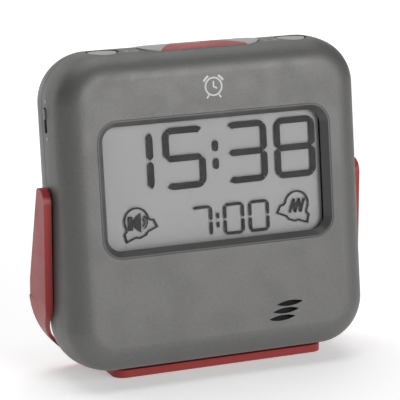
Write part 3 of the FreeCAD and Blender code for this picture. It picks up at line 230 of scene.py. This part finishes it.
def metal(name, colour, rough, stretch=(1, 1, 1), size=0.3):
    """Bare metal: fine drawn or tumbled marks and faint staining."""
    made = Recipe(name, Metallic=1.0)
    marks = made.noise(size, 4.0, made.stretched(*stretch))
    stains = made.range(made.noise(3.0, 3.0), 0.4, 0.7)
    ground = made.mix(made.math("MULTIPLY", stains, 0.15), colour, tinted(colour, 0.5))
    edge = made.math("MULTIPLY", made.edges(0.15), 0.3)
    made.bump(marks, 0.004)
    return made.done(made.mix(edge, ground, tinted(colour, 1.3)),
                     made.range(marks, 0.3, 0.7, rough - 0.08, rough + 0.1))


def clear(name, colour, alpha, rough):
    """Clear polished plastic or glass, with faint wiping marks."""
    made = Recipe(name, Alpha=alpha, Base_Color=colour)
    wipes = made.noise(1.6, 3.0, made.stretched(1, 1, 0.25))
    return made.done(roughness=made.range(wipes, 0.35, 0.75, rough, rough + 0.03))


def soft_rubber(name, colour):
    """Matt rubber: grey dust in its grain and paler scuffs on its edges."""
    made = Recipe(name)
    dust = made.range(made.noise(1.2, 4.0), 0.45, 0.8)
    ground = made.mix(made.math("MULTIPLY", dust, 0.35), colour, tinted(colour, 2.2))
    scuffed = made.mix(made.math("MULTIPLY", made.edges(0.3), 0.4), ground, tinted(colour, 3.0))
    made.bump(made.noise(0.25, 3.0), 0.02)
    return made.done(scuffed, made.range(dust, 0.0, 1.0, 0.69, 0.83))


def circuit_board(name):
    """Green solder mask over copper tracks, with tinned pads."""
    made = Recipe(name)
    green = (0.012, 0.11, 0.045)
    tracks = made.range(made.cells(2.6, distance="CHEBYCHEV"), 0.42, 0.46)
    pads = made.range(made.cells(3.4), 0.16, 0.13)
    mask = made.mix(made.math("MULTIPLY", tracks, 0.6), green, tinted(green, 2.0))
    made.bump(tracks, 0.03)
    return made.done(made.mix(pads, mask, (0.55, 0.55, 0.52)),
                     made.range(pads, 0.0, 1.0, 0.38, 0.25))


def woven(name, colour, pitch):
    """Fine cloth with threads along X and Z."""
    made = Recipe(name, Sheen_Weight=0.3)
    threads = made.math("MULTIPLY", made.waves(pitch, "X"), made.waves(pitch, "Z"))
    made.bump(threads, 0.05)
    return made.done(made.mix(threads, tinted(colour, 0.3), tinted(colour, 1.6)), 0.85)


def striped_rubber(name):
    """Elastomer strip with the thin conducting layers that join the display to the board."""
    made = Recipe(name)
    layers = made.range(made.waves(0.5, "X"), 0.4, 0.6)
    return made.done(made.mix(layers, grey(0.05), grey(0.45)), 0.6)


def display_back(name, colour):
    """Grey reflector of the display: a very fine grain and slow clouding."""
    made = Recipe(name)
    grain = made.noise(0.30, 2.0)
    cloud = made.noise(22.0, 2.0)
    ground = made.mix(cloud, tinted(colour, 0.96), tinted(colour, 1.04))
    fine = made.mix(made.math("MULTIPLY", grain, 0.10), ground, tinted(colour, 0.75))
    made.bump(grain, 0.003)
    return made.done(fine, made.range(grain, 0.3, 0.7, 0.5, 0.62))


def cell_sleeve(name, node):
    """Printed sleeve: dark with a copper-coloured band at one end, bare metal at the other."""
    low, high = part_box(node)
    made = Recipe(name)
    along = made.node("ShaderNodeSeparateXYZ", 0, {0: made.places})
    length = high.x - low.x
    band = made.math("GREATER_THAN", along, low.x + length * 0.72)
    bare = made.math("MAXIMUM", made.math("LESS_THAN", along, low.x + length * 0.03),
                     made.math("GREATER_THAN", along, low.x + length * 0.97))
    printed = made.mix(band, (0.02, 0.022, 0.026), (0.52, 0.24, 0.09))
    scratched = made.mix(made.range(made.noise(0.8, 4.0), 0.62, 0.8, 0.0, 0.3), printed,
                         grey(0.5))
    made.feed(made.shader.inputs["Metallic"], made.math("MAXIMUM", band, bare))
    return made.done(made.mix(bare, scratched, grey(0.6)),
                     made.range(made.noise(1.5), 0.3, 0.7, 0.24, 0.36))


CASE_GREY = (0.128, 0.126, 0.124)
KEY_GREY = (0.32, 0.33, 0.305)
RED = (0.29, 0.018, 0.018)
FLAKED = {"speck": 0.10, "speck_size": 0.22, "wear": 0.12, "cloud": 0.03, "grain": 0.006}

# The CAD nodes' materials, by their slots.
painted = {
    "case_front": moulded("anthracite_front", CASE_GREY, 0.50, Metallic=0.45, **FLAKED),
    "case_rear": moulded("anthracite_rear", CASE_GREY, 0.52, Metallic=0.4, **FLAKED),
    "bezel": moulded("smooth_bezel", grey(0.064), 0.36, grain=0.002, wear=0.3),
    "window": clear("clear_pane", grey(0.04), 0.04, 0.03),
    "light_guide": moulded("milky_guide", grey(0.8), 0.3, grain=0.002, wear=0.0),
    "contact_rubber": striped_rubber("striped_rubber"),
    "circuit_board": circuit_board("solder_mask"),
    "switch_black": moulded("switch_black", grey(0.03), 0.5),
    "key_grey": moulded("key_grey", KEY_GREY, 0.42, grain=0.006, wear=0.15),
    "cap_red": moulded("cap_red", RED, 0.42, grain=0.02, wear=0.15),
    "stand_red": moulded("stand_red", RED, 0.46, grain=0.02, grain_size=0.4, wear=0.12,
                         cloud=0.08),
    "knob_grey": moulded("knob_grey", grey(0.16), 0.45),
    "mesh_cloth": woven("mesh_cloth", grey(0.012), 0.28),
    "speaker_metal": metal("speaker_metal", grey(0.5), 0.38),
    "spring_steel": metal("spring_steel", (0.62, 0.62, 0.60), 0.25),
    "contact_metal": metal("contact_metal", (0.62, 0.60, 0.54), 0.3, (1, 1, 6)),
    "rear_rubber": soft_rubber("rear_rubber", grey(0.035)),
    "motor_steel": metal("motor_steel", grey(0.55), 0.28, (8, 1, 1)),
    "weight_metal": metal("weight_metal", (0.42, 0.41, 0.38), 0.5, size=0.15),
    "cradle_black": moulded("cradle_black", grey(0.035), 0.5),
    "screw_steel": metal("screw_steel", grey(0.22), 0.35),
    "bush_black": moulded("bush_black", grey(0.025), 0.35, wear=0.1),
    "pad_rubber": soft_rubber("pad_rubber", grey(0.03)),
    "cell_sleeve": cell_sleeve("cell_sleeve", "battery_1"),
}

# The materials of the pieces made here.
reflector_grey = display_back("reflector_grey", grey(0.46))
polariser = clear("polariser", grey(0.03), 0.035, 0.22)
segment_dark = moulded("segment_dark", grey(0.012), 0.6, grain=0.0, wear=0.0, cloud=0.15)
# Near-black for printed lines, and for painted shade in the gap just inside the display window's
# edges.
black_print_and_painted_shade = moulded("black_print_and_painted_shade", grey(0.006), 0.6, grain=0.0, wear=0.0)
cap_mark_red = moulded("cap_mark_red", (0.42, 0.13, 0.11), 0.5, grain=0.004, wear=0.0)
label_grey = moulded("label_grey", grey(0.34), 0.4, grain=0.003, wear=0.1)
print_white = moulded("print_white", grey(0.50), 0.5, grain=0.004, wear=0.0, cloud=0.2)
print_grey = moulded("print_grey", grey(0.32), 0.5, grain=0.004, wear=0.0, cloud=0.2)

for part in frame["record"]["subparts"]:
    if part["material_slot"] in painted:
        surface = nodes[part["node"]].data
        surface.materials.clear()
        surface.materials.append(painted[part["material_slot"]])


# ---------------------------------------------------------------- flat artwork

def arc(centre, radius, start, end, steps=8):
    """Points of an arc, from one angle in degrees to another."""
    angles = [math.radians(start + (end - start) * i / steps) for i in range(steps + 1)]
    return [(centre[0] + radius * math.cos(a), centre[1] + radius * math.sin(a))
            for a in angles]


def moved(points, shift=(0, 0), turn=0.0, flip_x=1, flip_y=1):
    """Points mirrored, turned by an angle in degrees and shifted."""
    c, s = math.cos(math.radians(turn)), math.sin(math.radians(turn))
    turned = [(x * flip_x * c - y * flip_y * s, x * flip_x * s + y * flip_y * c)
              for x, y in points]
    return [(x + shift[0], y + shift[1]) for x, y in turned]


def solid(points):
    """A filled outline as a patch: its points and its one face."""
    return points, [list(range(len(points)))]


def stroke(points, width, closed=False):
    """A line of a given width along points, as a patch of quads."""
    count = len(points)
    sides = []
    for i, (x, y) in enumerate(points):
        before = points[i - 1] if closed or i else points[i]
        after = points[(i + 1) % count] if closed or i < count - 1 else points[i]
        into = Vector((x - before[0], y - before[1])).normalized()
        out = Vector((after[0] - x, after[1] - y)).normalized()
        along = (into + out).normalized()
        square = along if into.length and out.length else into + out
        half = width / 2 / max(0.5, square.dot(out if out.length else into))
        across = Vector((-along.y, along.x)) * half
        sides += [(x + across.x, y + across.y), (x - across.x, y - across.y)]
    spans = count if closed else count - 1
    quads = [[2 * i, 2 * i + 1, (2 * i + 3) % (2 * count), (2 * i + 2) % (2 * count)]
             for i in range(spans)]
    return sides, quads


def ring(radius, width):
    """A closed round line about the origin, of 32 points."""
    spans = 31
    return stroke(arc((0, 0), radius, 0, 360 * spans / (spans + 1), spans), width, True)


def rounded_outline(half_width, half_height, corner):
    """The points of a rounded rectangle about the origin."""
    points = []
    for x, y, start in ((1, 1, 0), (-1, 1, 90), (-1, -1, 180), (1, -1, 270)):
        centre = (x * (half_width - corner), y * (half_height - corner))
        points += arc(centre, corner, start, start + 90, 4)
    return points


def border(outer, inner):
    """The patch between two outlines that have equally many points."""
    count = len(outer)
    quads = [[i, (i + 1) % count, count + (i + 1) % count, count + i] for i in range(count)]
    return outer + inner, quads


CLEAR_OF_FACE = 10 * MM


def artwork(name, patches, thickness, place, material, body, wrap=None):
    """A thin raised print or plate, laid on a face. wrap names a CAD node that it follows."""
    mesh = bmesh.new()
    for points, faces in patches:
        corners = [mesh.verts.new((x * MM, y * MM, 0)) for x, y in points]
        for face in faces:
            mesh.faces.new([corners[i] for i in face])
    if wrap:
        bmesh.ops.triangulate(mesh, faces=mesh.faces[:])
        bmesh.ops.subdivide_edges(mesh, edges=mesh.edges[:], cuts=1, use_grid_fill=True)
    bmesh.ops.recalc_face_normals(mesh, faces=mesh.faces[:])
    raised = bmesh.ops.extrude_face_region(mesh, geom=mesh.faces[:])["geom"]
    for vertex in [item for item in raised if isinstance(item, bmesh.types.BMVert)]:
        vertex.co.z += thickness * MM
    bmesh.ops.recalc_face_normals(mesh, faces=mesh.faces[:])
    if wrap:
        lay_on(mesh, wrap, place)
    mesh.transform(place)
    data = bpy.data.meshes.new(name)
    mesh.to_mesh(data)
    mesh.free()
    data.materials.append(material)
    piece = bpy.data.objects.new(name, data)
    bpy.context.scene.collection.objects.link(piece)
    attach(piece, body)
    return piece


def lay_on(mesh, node, place):
    """Drops each point of a flat mesh along the face's Z onto a CAD node's surface."""
    source = nodes[node].data
    source.calc_loop_triangles()
    points = [place.inverted() @ vertex.co for vertex in source.vertices]
    tree = BVHTree.FromPolygons(points, [list(t.vertices) for t in source.loop_triangles])
    for vertex in mesh.verts:
        above = Vector((vertex.co.x, vertex.co.y, CLEAR_OF_FACE))
        hit = tree.ray_cast(above, Vector((0, 0, -1)))[0]
        if hit is not None:
            vertex.co.z += hit.z


# ---------------------------------------------------------------- display

# The seven segments go round from the top bar a to the upper left side f, with g at the waist.
SEGMENTS = {"0": "abcdef", "1": "bc", "3": "abcdg", "5": "acdfg", "7": "abc", "8": "abcdefg"}

# A segment's inner corner as a share of its outer corner, and the gap at a pointed end as a
# share of the gap at a cut one.
INNER_CORNER = 0.3
POINT_GAP = 0.7


def bar_segment(half_width, half_height, thick, corner, gap):
    """The top bar of a digit, cut at 45 degrees through both rounded corners."""
    inner = corner * INNER_CORNER
    outer_gap = math.degrees(gap / 2 / corner)
    inner_gap = math.degrees(gap / 2 / inner)
    outer_x = half_width - corner
    outer_y = half_height - corner
    inner_x = half_width - thick - inner
    inner_y = half_height - thick - inner
    return (arc((-outer_x, outer_y), corner, 135 - outer_gap, 90)
            + arc((outer_x, outer_y), corner, 90, 45 + outer_gap)
            + arc((inner_x, inner_y), inner, 45 + inner_gap, 90, 4)
            + arc((-inner_x, inner_y), inner, 90, 135 - inner_gap, 4))


def side_segment(half_width, half_height, thick, corner, gap):
    """The upper right side of a digit, with a pointed end at the waist."""
    inner = corner * INNER_CORNER
    outer_gap = math.degrees(gap / 2 / corner)
    inner_gap = math.degrees(gap / 2 / inner)
    waist = gap * POINT_GAP
    return (arc((half_width - corner, half_height - corner), corner, 45 - outer_gap, 0)
            + [(half_width, waist + thick / 2), (half_width - thick / 2, waist),
               (half_width - thick, waist + thick / 2)]
            + arc((half_width - thick - inner, half_height - thick - inner), inner, 0,
                  45 - inner_gap, 4))


def waist_segment(half_width, thick, gap):
    """The middle bar of a digit, pointed at both ends."""
    tip = half_width - thick / 2 - gap * POINT_GAP
    shoulder = tip - thick / 2
    return [(-tip, 0), (-shoulder, thick / 2), (shoulder, thick / 2),
            (tip, 0), (shoulder, -thick / 2), (-shoulder, -thick / 2)]


def digit(figure, centre, width, height, thick, corner, gap):
    """The patches of one seven-segment figure."""
    bar = bar_segment(width / 2, height / 2, thick, corner, gap)
    side = side_segment(width / 2, height / 2, thick, corner, gap)
    shapes = {
        "a": moved(bar, centre),
        "b": moved(side, centre),
        "c": moved(side, centre, flip_y=-1),
        "d": moved(bar, centre, flip_y=-1),
        "e": moved(side, centre, flip_x=-1, flip_y=-1),
        "f": moved(side, centre, flip_x=-1),
        "g": moved(waist_segment(width / 2, thick, gap), centre),
    }
    return [solid(shapes[letter]) for letter in SEGMENTS[figure]]


def pill(centre, width, height):
    """An upright bar with round ends."""
    radius = width / 2
    rise = height / 2 - radius
    return solid(arc((centre[0], centre[1] + rise), radius, 0, 180)
                 + arc((centre[0], centre[1] - rise), radius, 180, 360))


def bell_outline():
    """A bell seen from the front: a dome, a stepped rim and the clapper's bulge below."""
    dome = arc((0, 0.6), 3.2, -12, 90, 10)
    clapper = [(0.9, -3.75), (1.7, -3.2)]
    rim = [(4.45, -3.15), (4.2, -1.1), (3.45, -0.8)]
    half = clapper + rim + dome
    return half + [(-x, y) for x, y in reversed(half[:-1])]


def speaker_symbol():
    """A loudspeaker from the side, with two sound waves."""
    rear, joint, mouth = -2.5, -1.35, 0.85
    box_rise, throat_rise, mouth_rise = 1.8, 0.85, 2.5
    throat = joint + 0.05
    box = [(rear, -box_rise), (joint, -box_rise), (joint, box_rise), (rear, box_rise)]
    cone = [(throat, -throat_rise), (mouth, -mouth_rise), (mouth, mouth_rise),
            (throat, throat_rise)]
    waves = [stroke(arc((mouth - 0.1, 0), radius, -62, 62), 0.34) for radius in (1.1, 1.8)]
    return [solid(box), solid(cone)] + waves


def zigzag_symbol():
    """Slanted up and down strokes, which mean vibration."""
    start, pitch, lean, rise, width = -2.0, 0.75, 0.25, 1.75, 0.58
    points = []
    for i in range(6):
        way = 1 if i % 2 else -1
        points.append((start + pitch * i + way * lean, way * rise))
    return [stroke([a, b], width) for a, b in zip(points, points[1:])]


def icon(patches, centre, turn):
    """Patches turned by an angle in degrees and set about a point."""
    return [(moved(points, centre, turn), faces) for points, faces in patches]


# Sizes and places on the display in millimetres, from the middle of its glass.
LARGE = {"width": 11.35, "height": 15.6, "thick": 1.65, "corner": 2.6, "gap": 0.13}
SMALL = {"width": 5.7, "height": 8.1, "thick": 0.8, "corner": 1.45, "gap": 0.16}
LARGE_FIGURES = (("1", -21.5), ("5", -7.45), ("3", 9.5), ("8", 22.95))
SMALL_FIGURES = (("7", -3.6), ("0", 5.15), ("0", 12.1))
LARGE_COLON = {"x": 1.0, "rise": 2.25, "width": 1.5, "height": 2.8}
SMALL_COLON = {"x": 0.75, "rise": 1.15, "width": 0.75, "height": 1.5}
LARGE_LINE = 6.05
SMALL_LINE = -10.5
SYMBOL_WIDTH = 0.46
GLASS_CORNER = 0.6
SEGMENT_DEPTH = 0.12
SEGMENT_THICK = 0.05
FRONT_GLASS_REAR = 0.3
CELL_DEPTH = 0.55
BEZEL_SLOPE = (1.95, 1.7)
# Margin, overlap and thickness of the black frame that paints the shade along the window's inner
# edges.
SHADE_FRAME_MARGIN = 0.35
SHADE_FRAME_OVERLAP = 1.3
SHADE_FRAME_THICK = 0.03


def half_size(node, direction):
    """Half of a node's length along a direction, in millimetres."""
    return (reach(node, direction) + reach(node, -direction)) / MM / 2


def behind_display(depth):
    """The display's front face, moved this many millimetres into the case."""
    return display_place @ Matrix.Translation((0, 0, -depth * MM))


def display_slab(name, front, rear, material):
    """A flat rounded plate of the display, between two depths behind its front face."""
    outline = rounded_outline(half_size("lcd_glass", RIGHT), half_size("lcd_glass", UP),
                              GLASS_CORNER)
    return artwork(name, [solid(outline)], rear - front, behind_display(rear), material,
                   "case")


def colon(line, x, rise, width, height):
    """Two upright dots, one above a line of figures' middle and one below it."""
    return [pill((x, line + way * rise), width, height) for way in (-1, 1)]


display_centre = FORWARD * reach("lcd_glass", FORWARD) + UP * middle("lcd_glass", UP)
display_place = face_place(display_centre, RIGHT, UP)
cell_rear = (reach("lcd_glass", FORWARD) + reach("lcd_glass", BACK)) / MM
reflector = display_slab("lcd_reflector", CELL_DEPTH, cell_rear, reflector_grey)
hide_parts("lcd_glass")
display_slab("lcd_front_glass", 0.0, FRONT_GLASS_REAR, polariser)

# A black frame on the reflector is painted shade: it stands in for the dark gap between the
# display and the bezel, seen as a thin dark line just inside the window.
view_width = half_size("window_bezel", RIGHT) - BEZEL_SLOPE[0]
view_height = half_size("window_bezel", UP) - BEZEL_SLOPE[1]
shade_frame_outer = rounded_outline(half_size("lcd_glass", RIGHT), view_height + SHADE_FRAME_OVERLAP,
                             GLASS_CORNER)
shade_frame_inner = rounded_outline(view_width + SHADE_FRAME_MARGIN, view_height + SHADE_FRAME_MARGIN, GLASS_CORNER)
artwork("lcd_painted_shade_frame", [border(shade_frame_outer, shade_frame_inner)], SHADE_FRAME_THICK, behind_display(CELL_DEPTH),
        black_print_and_painted_shade, "case")

for name, figures, size, line, dots in (
        ("lcd_time", LARGE_FIGURES, LARGE, LARGE_LINE, LARGE_COLON),
        ("lcd_alarm_time", SMALL_FIGURES, SMALL, SMALL_LINE, SMALL_COLON)):
    patches = []
    for figure, place_x in figures:
        patches += digit(figure, (place_x, line), **size)
    patches += colon(line, **dots)
    artwork(name, patches, SEGMENT_THICK, behind_display(SEGMENT_DEPTH), segment_dark,
            "case")

bell_patch = stroke(bell_outline(), SYMBOL_WIDTH, True)
for name, inside, inside_shift, centre, turn in (
        ("sound", speaker_symbol(), (0.1, 0.0), (-21.0, -9.0), 21),
        ("vibration", zigzag_symbol(), (0.45, 0.1), (22.5, -9.05), -21)):
    upright = (centre[0] + inside_shift[0], centre[1] + inside_shift[1])
    patches = icon([bell_patch], centre, turn) + icon(inside, upright, 0)
    artwork(f"lcd_{name}_symbol", patches, SEGMENT_THICK, behind_display(SEGMENT_DEPTH),
            segment_dark, "case")


# ---------------------------------------------------------------- printed marks

def small_bell(scale, width):
    """The outline of the display's bell at another scale, for print."""
    return stroke([(x * scale, y * scale) for x, y in bell_outline()], width, True)


def ringing_bell(scale, radius, width):
    """A small bell between two sound arcs."""
    arcs = [stroke(arc((0, 0), radius, start, start + 90, 6), width) for start in (-45, 135)]
    return [small_bell(scale, width)] + arcs


def clock_mark(radius, width):
    """A round alarm clock: a dial with two hands, two bells and two feet."""
    marks = [ring(radius, width)]
    marks.append(stroke([(0, radius * 0.62), (0, 0), (radius * 0.42, -radius * 0.24)], width))
    for side in (1, -1):
        bell_arc = arc((0, 0), radius * 1.34, 90 - side * 62, 90 - side * 26, 5)
        marks.append(stroke(bell_arc, width * 1.3))
        foot = [(side * radius * 0.62, -radius * 0.94), (side * radius * 0.86, -radius * 1.3)]
        marks.append(stroke(foot, width))
    return marks


def moon_mark(radius):
    """A crescent moon, for the long bar that silences the alarm for a while."""
    outer = arc((0, 0), radius, 60, 300, 16)
    inner = arc((radius * 0.5, 0), radius * 0.87, 273, 87, 14)
    return [solid(outer + inner)]


def plus_mark(size, width):
    half = size / 2
    return [stroke([(-half, 0), (half, 0)], width), stroke([(0, -half), (0, half)], width)]


def arrow_mark(size, width):
    """An arrow that points up, the way the battery door comes off."""
    shaft = stroke([(0, -size / 2), (0, size / 4)], width)
    head = solid([(-size * 0.36, size * 0.12), (size * 0.36, size * 0.12), (0, size / 2)])
    return [shaft, head]


# Places in metres. Sizes of the marks and thicknesses stay in millimetres.
KEY_MARK_SIDE = 18.9 * MM
KEY_MARK_FORWARD = 1.9 * MM
CLOCK_RISE = 6.4 * MM
MOON_BACK = 1.4 * MM
REAR_MARK_DROP = 4.8 * MM
DOOR_ARROW_SIDE = 20.0 * MM
DOOR_ARROW_RISE = 7.0 * MM
LABEL_DROP = 3.5 * MM
SIDE_DOT_RISE = 4.6 * MM
PRINT_THICK = 0.02
MOON_THICK = 0.015
ARROW_THICK = 0.12
LABEL_HALF_SIZE = (15.0, 4.5)
LABEL_CORNER = 0.8
LABEL_THICK = 0.06
LABEL_LINE_INSET = 0.6
LABEL_LINE_WIDTH = 0.2
SIDE_DOT_RADIUS = 0.45

key_line = middle("left_button", BACK)
key_mark_line = BACK * (key_line - KEY_MARK_FORWARD) + UP * reach("left_button", UP)
for name, side in (("left", -1), ("right", 1)):
    place = face_place(key_mark_line + RIGHT * side * KEY_MARK_SIDE, RIGHT, BACK)
    artwork(f"print_bell_{name}", ringing_bell(0.289, 1.785, 0.22), PRINT_THICK, place,
            print_grey, "case", wrap="front_shell")

front_face = FORWARD * reach("front_shell", FORWARD)
clock_origin = front_face + UP * (reach("window_bezel", UP) + CLOCK_RISE)
artwork("print_clock", clock_mark(2.2, 0.42), PRINT_THICK,
        face_place(clock_origin, RIGHT, UP), print_white, "case")

cap_origin = BACK * (key_line + MOON_BACK) + UP * reach("snooze_cap", UP)
artwork("print_moon", moon_mark(1.5), MOON_THICK, face_place(cap_origin, RIGHT, BACK),
        cap_mark_red, "snooze_key", wrap="snooze_cap")


def rear_place(across, rise, node="rear_shell"):
    """A face on the back of a node, seen from behind."""
    return face_place(RIGHT * across + UP * rise + BACK * reach(node, BACK), -RIGHT, UP)


key_marks = {
    "rear_key_left": plus_mark(2.2, 0.36),
    "rear_key_middle": clock_mark(1.2, 0.28),
    "rear_key_right": [small_bell(0.28, 0.24)],
}
for key, marks in key_marks.items():
    rise = middle(key, UP) - REAR_MARK_DROP
    artwork(f"print_{key}", marks, PRINT_THICK, rear_place(middle(key, RIGHT), rise),
            print_grey, "case")

door_middle = middle("battery_door", UP)
artwork("door_arrow", arrow_mark(4.0, 0.7), ARROW_THICK,
        rear_place(DOOR_ARROW_SIDE, door_middle + DOOR_ARROW_RISE, "battery_door"),
        painted["case_rear"], "battery_cover")


def label_outline(inset, corner):
    width, height = LABEL_HALF_SIZE
    return rounded_outline(width - inset, height - inset, corner)


label_place = rear_place(0, door_middle - LABEL_DROP, "battery_door")
artwork("blank_label", [solid(label_outline(0, LABEL_CORNER))], LABEL_THICK, label_place,
        label_grey, "battery_cover")
label_line = border(label_outline(LABEL_LINE_INSET, 0.5),
                    label_outline(LABEL_LINE_INSET + LABEL_LINE_WIDTH, 0.4))
artwork("label_line", [label_line], PRINT_THICK,
        label_place @ Matrix.Translation((0, 0, LABEL_THICK * MM)), black_print_and_painted_shade,
        "battery_cover")

side_face = -RIGHT * reach("front_shell", -RIGHT)
for name, way in (("upper", 1), ("lower", -1)):
    origin = side_face + FORWARD * middle("slide_knob", FORWARD)
    origin += UP * (middle("slide_switch", UP) + way * SIDE_DOT_RISE)
    dot = solid(arc((0, 0), SIDE_DOT_RADIUS, 0, 345, 15))
    artwork(f"side_dot_{name}", [dot], PRINT_THICK, face_place(origin, FORWARD, UP),
            print_grey, "case", wrap="front_shell")


# ---------------------------------------------------------------- floor, light and camera

FLOOR_HALF = 3.0
FLOOR_GLOW = 0.30
WORLD_STRENGTH = 0.10


def floor():
    """A plain pale floor under the clock, which glows a little like a lit studio table."""
    mesh = bpy.data.meshes.new("floor")
    half = FLOOR_HALF
    low = cad_box[0].z
    corners = [(-half, -half, low), (half, -half, low), (half, half, low), (-half, half, low)]
    mesh.from_pydata(corners, [], [(0, 1, 2, 3)])
    piece = bpy.data.objects.new("floor", mesh)
    bpy.context.scene.collection.objects.link(piece)
    made = Recipe("floor_paper")
    cloud = made.mix(made.noise(80.0, 2.0), grey(0.90), grey(0.94))
    made.bump(made.noise(1.5, 2.0), 0.01)
    made.feed(made.shader.inputs["Emission Color"], grey(1.0))
    made.feed(made.shader.inputs["Emission Strength"], FLOOR_GLOW)
    mesh.materials.append(made.done(cloud, 0.8))


def area_light(name, turn, rise, distance, size, power):
    """A soft square light that looks at the case. turn 0 is in front and 90 to the right."""
    data = bpy.data.lights.new(name, "AREA")
    data.shape = "RECTANGLE"
    data.size, data.size_y = size
    data.energy = power
    light = bpy.data.objects.new(name, data)
    bpy.context.scene.collection.objects.link(light)
    a, e = math.radians(turn), math.radians(rise)
    away = Vector((math.sin(a) * math.cos(e), -math.cos(a) * math.cos(e), math.sin(e)))
    light.location = CASE_MIDDLE + away * distance
    light.rotation_mode = "QUATERNION"
    light.rotation_quaternion = away.to_track_quat("Z", "Y")


def world():
    """An even white surrounding."""
    made = bpy.data.worlds.new("studio")
    made.use_nodes = True
    background = made.node_tree.nodes["Background"]
    background.inputs["Color"].default_value = (1, 1, 1, 1)
    background.inputs["Strength"].default_value = WORLD_STRENGTH
    bpy.context.scene.world = made


CAMERA_TURN = 23.2
CAMERA_RISE = 14.65
CAMERA_DISTANCE = 0.5622
CAMERA_LENS = 202.5
PICTURE_SHIFT = (4.895 * MM, 1.19 * MM)


def camera():
    """The camera, to the left of the clock and above it. The case's middle lies right of and
    below the middle of the picture by the picture shift."""
    a, e = math.radians(CAMERA_TURN), math.radians(CAMERA_RISE)
    right = Vector((math.cos(a), -math.sin(a), 0))
    up = Vector((math.sin(a) * math.sin(e), math.cos(a) * math.sin(e), math.cos(e)))
    backward = right.cross(up)
    data = bpy.data.cameras.new("camera")
    data.lens = CAMERA_LENS
    data.clip_start = 0.01
    piece = bpy.data.objects.new("camera", data)
    bpy.context.scene.collection.objects.link(piece)
    place = CASE_MIDDLE - right * PICTURE_SHIFT[0] + up * PICTURE_SHIFT[1]
    columns = Matrix((right, up, backward)).transposed().to_4x4()
    piece.matrix_world = Matrix.Translation(place + backward * CAMERA_DISTANCE) @ columns
    bpy.context.scene.camera = piece


floor()
world()
# Name, turn and rise in degrees, distance and size in metres, and power in watts.
area_light("key_light", 20, 18, 0.9, (0.50, 0.45), 4.8)
area_light("rear_left_light", -150, 18, 0.9, (0.9, 0.7), 2.6)
area_light("rear_right_light", 150, 18, 0.9, (0.9, 0.7), 1.3)
area_light("top_light", 180, 76, 1.2, (1.2, 1.2), 9.5)
camera()
bpy.context.scene.view_settings.view_transform = "Standard"
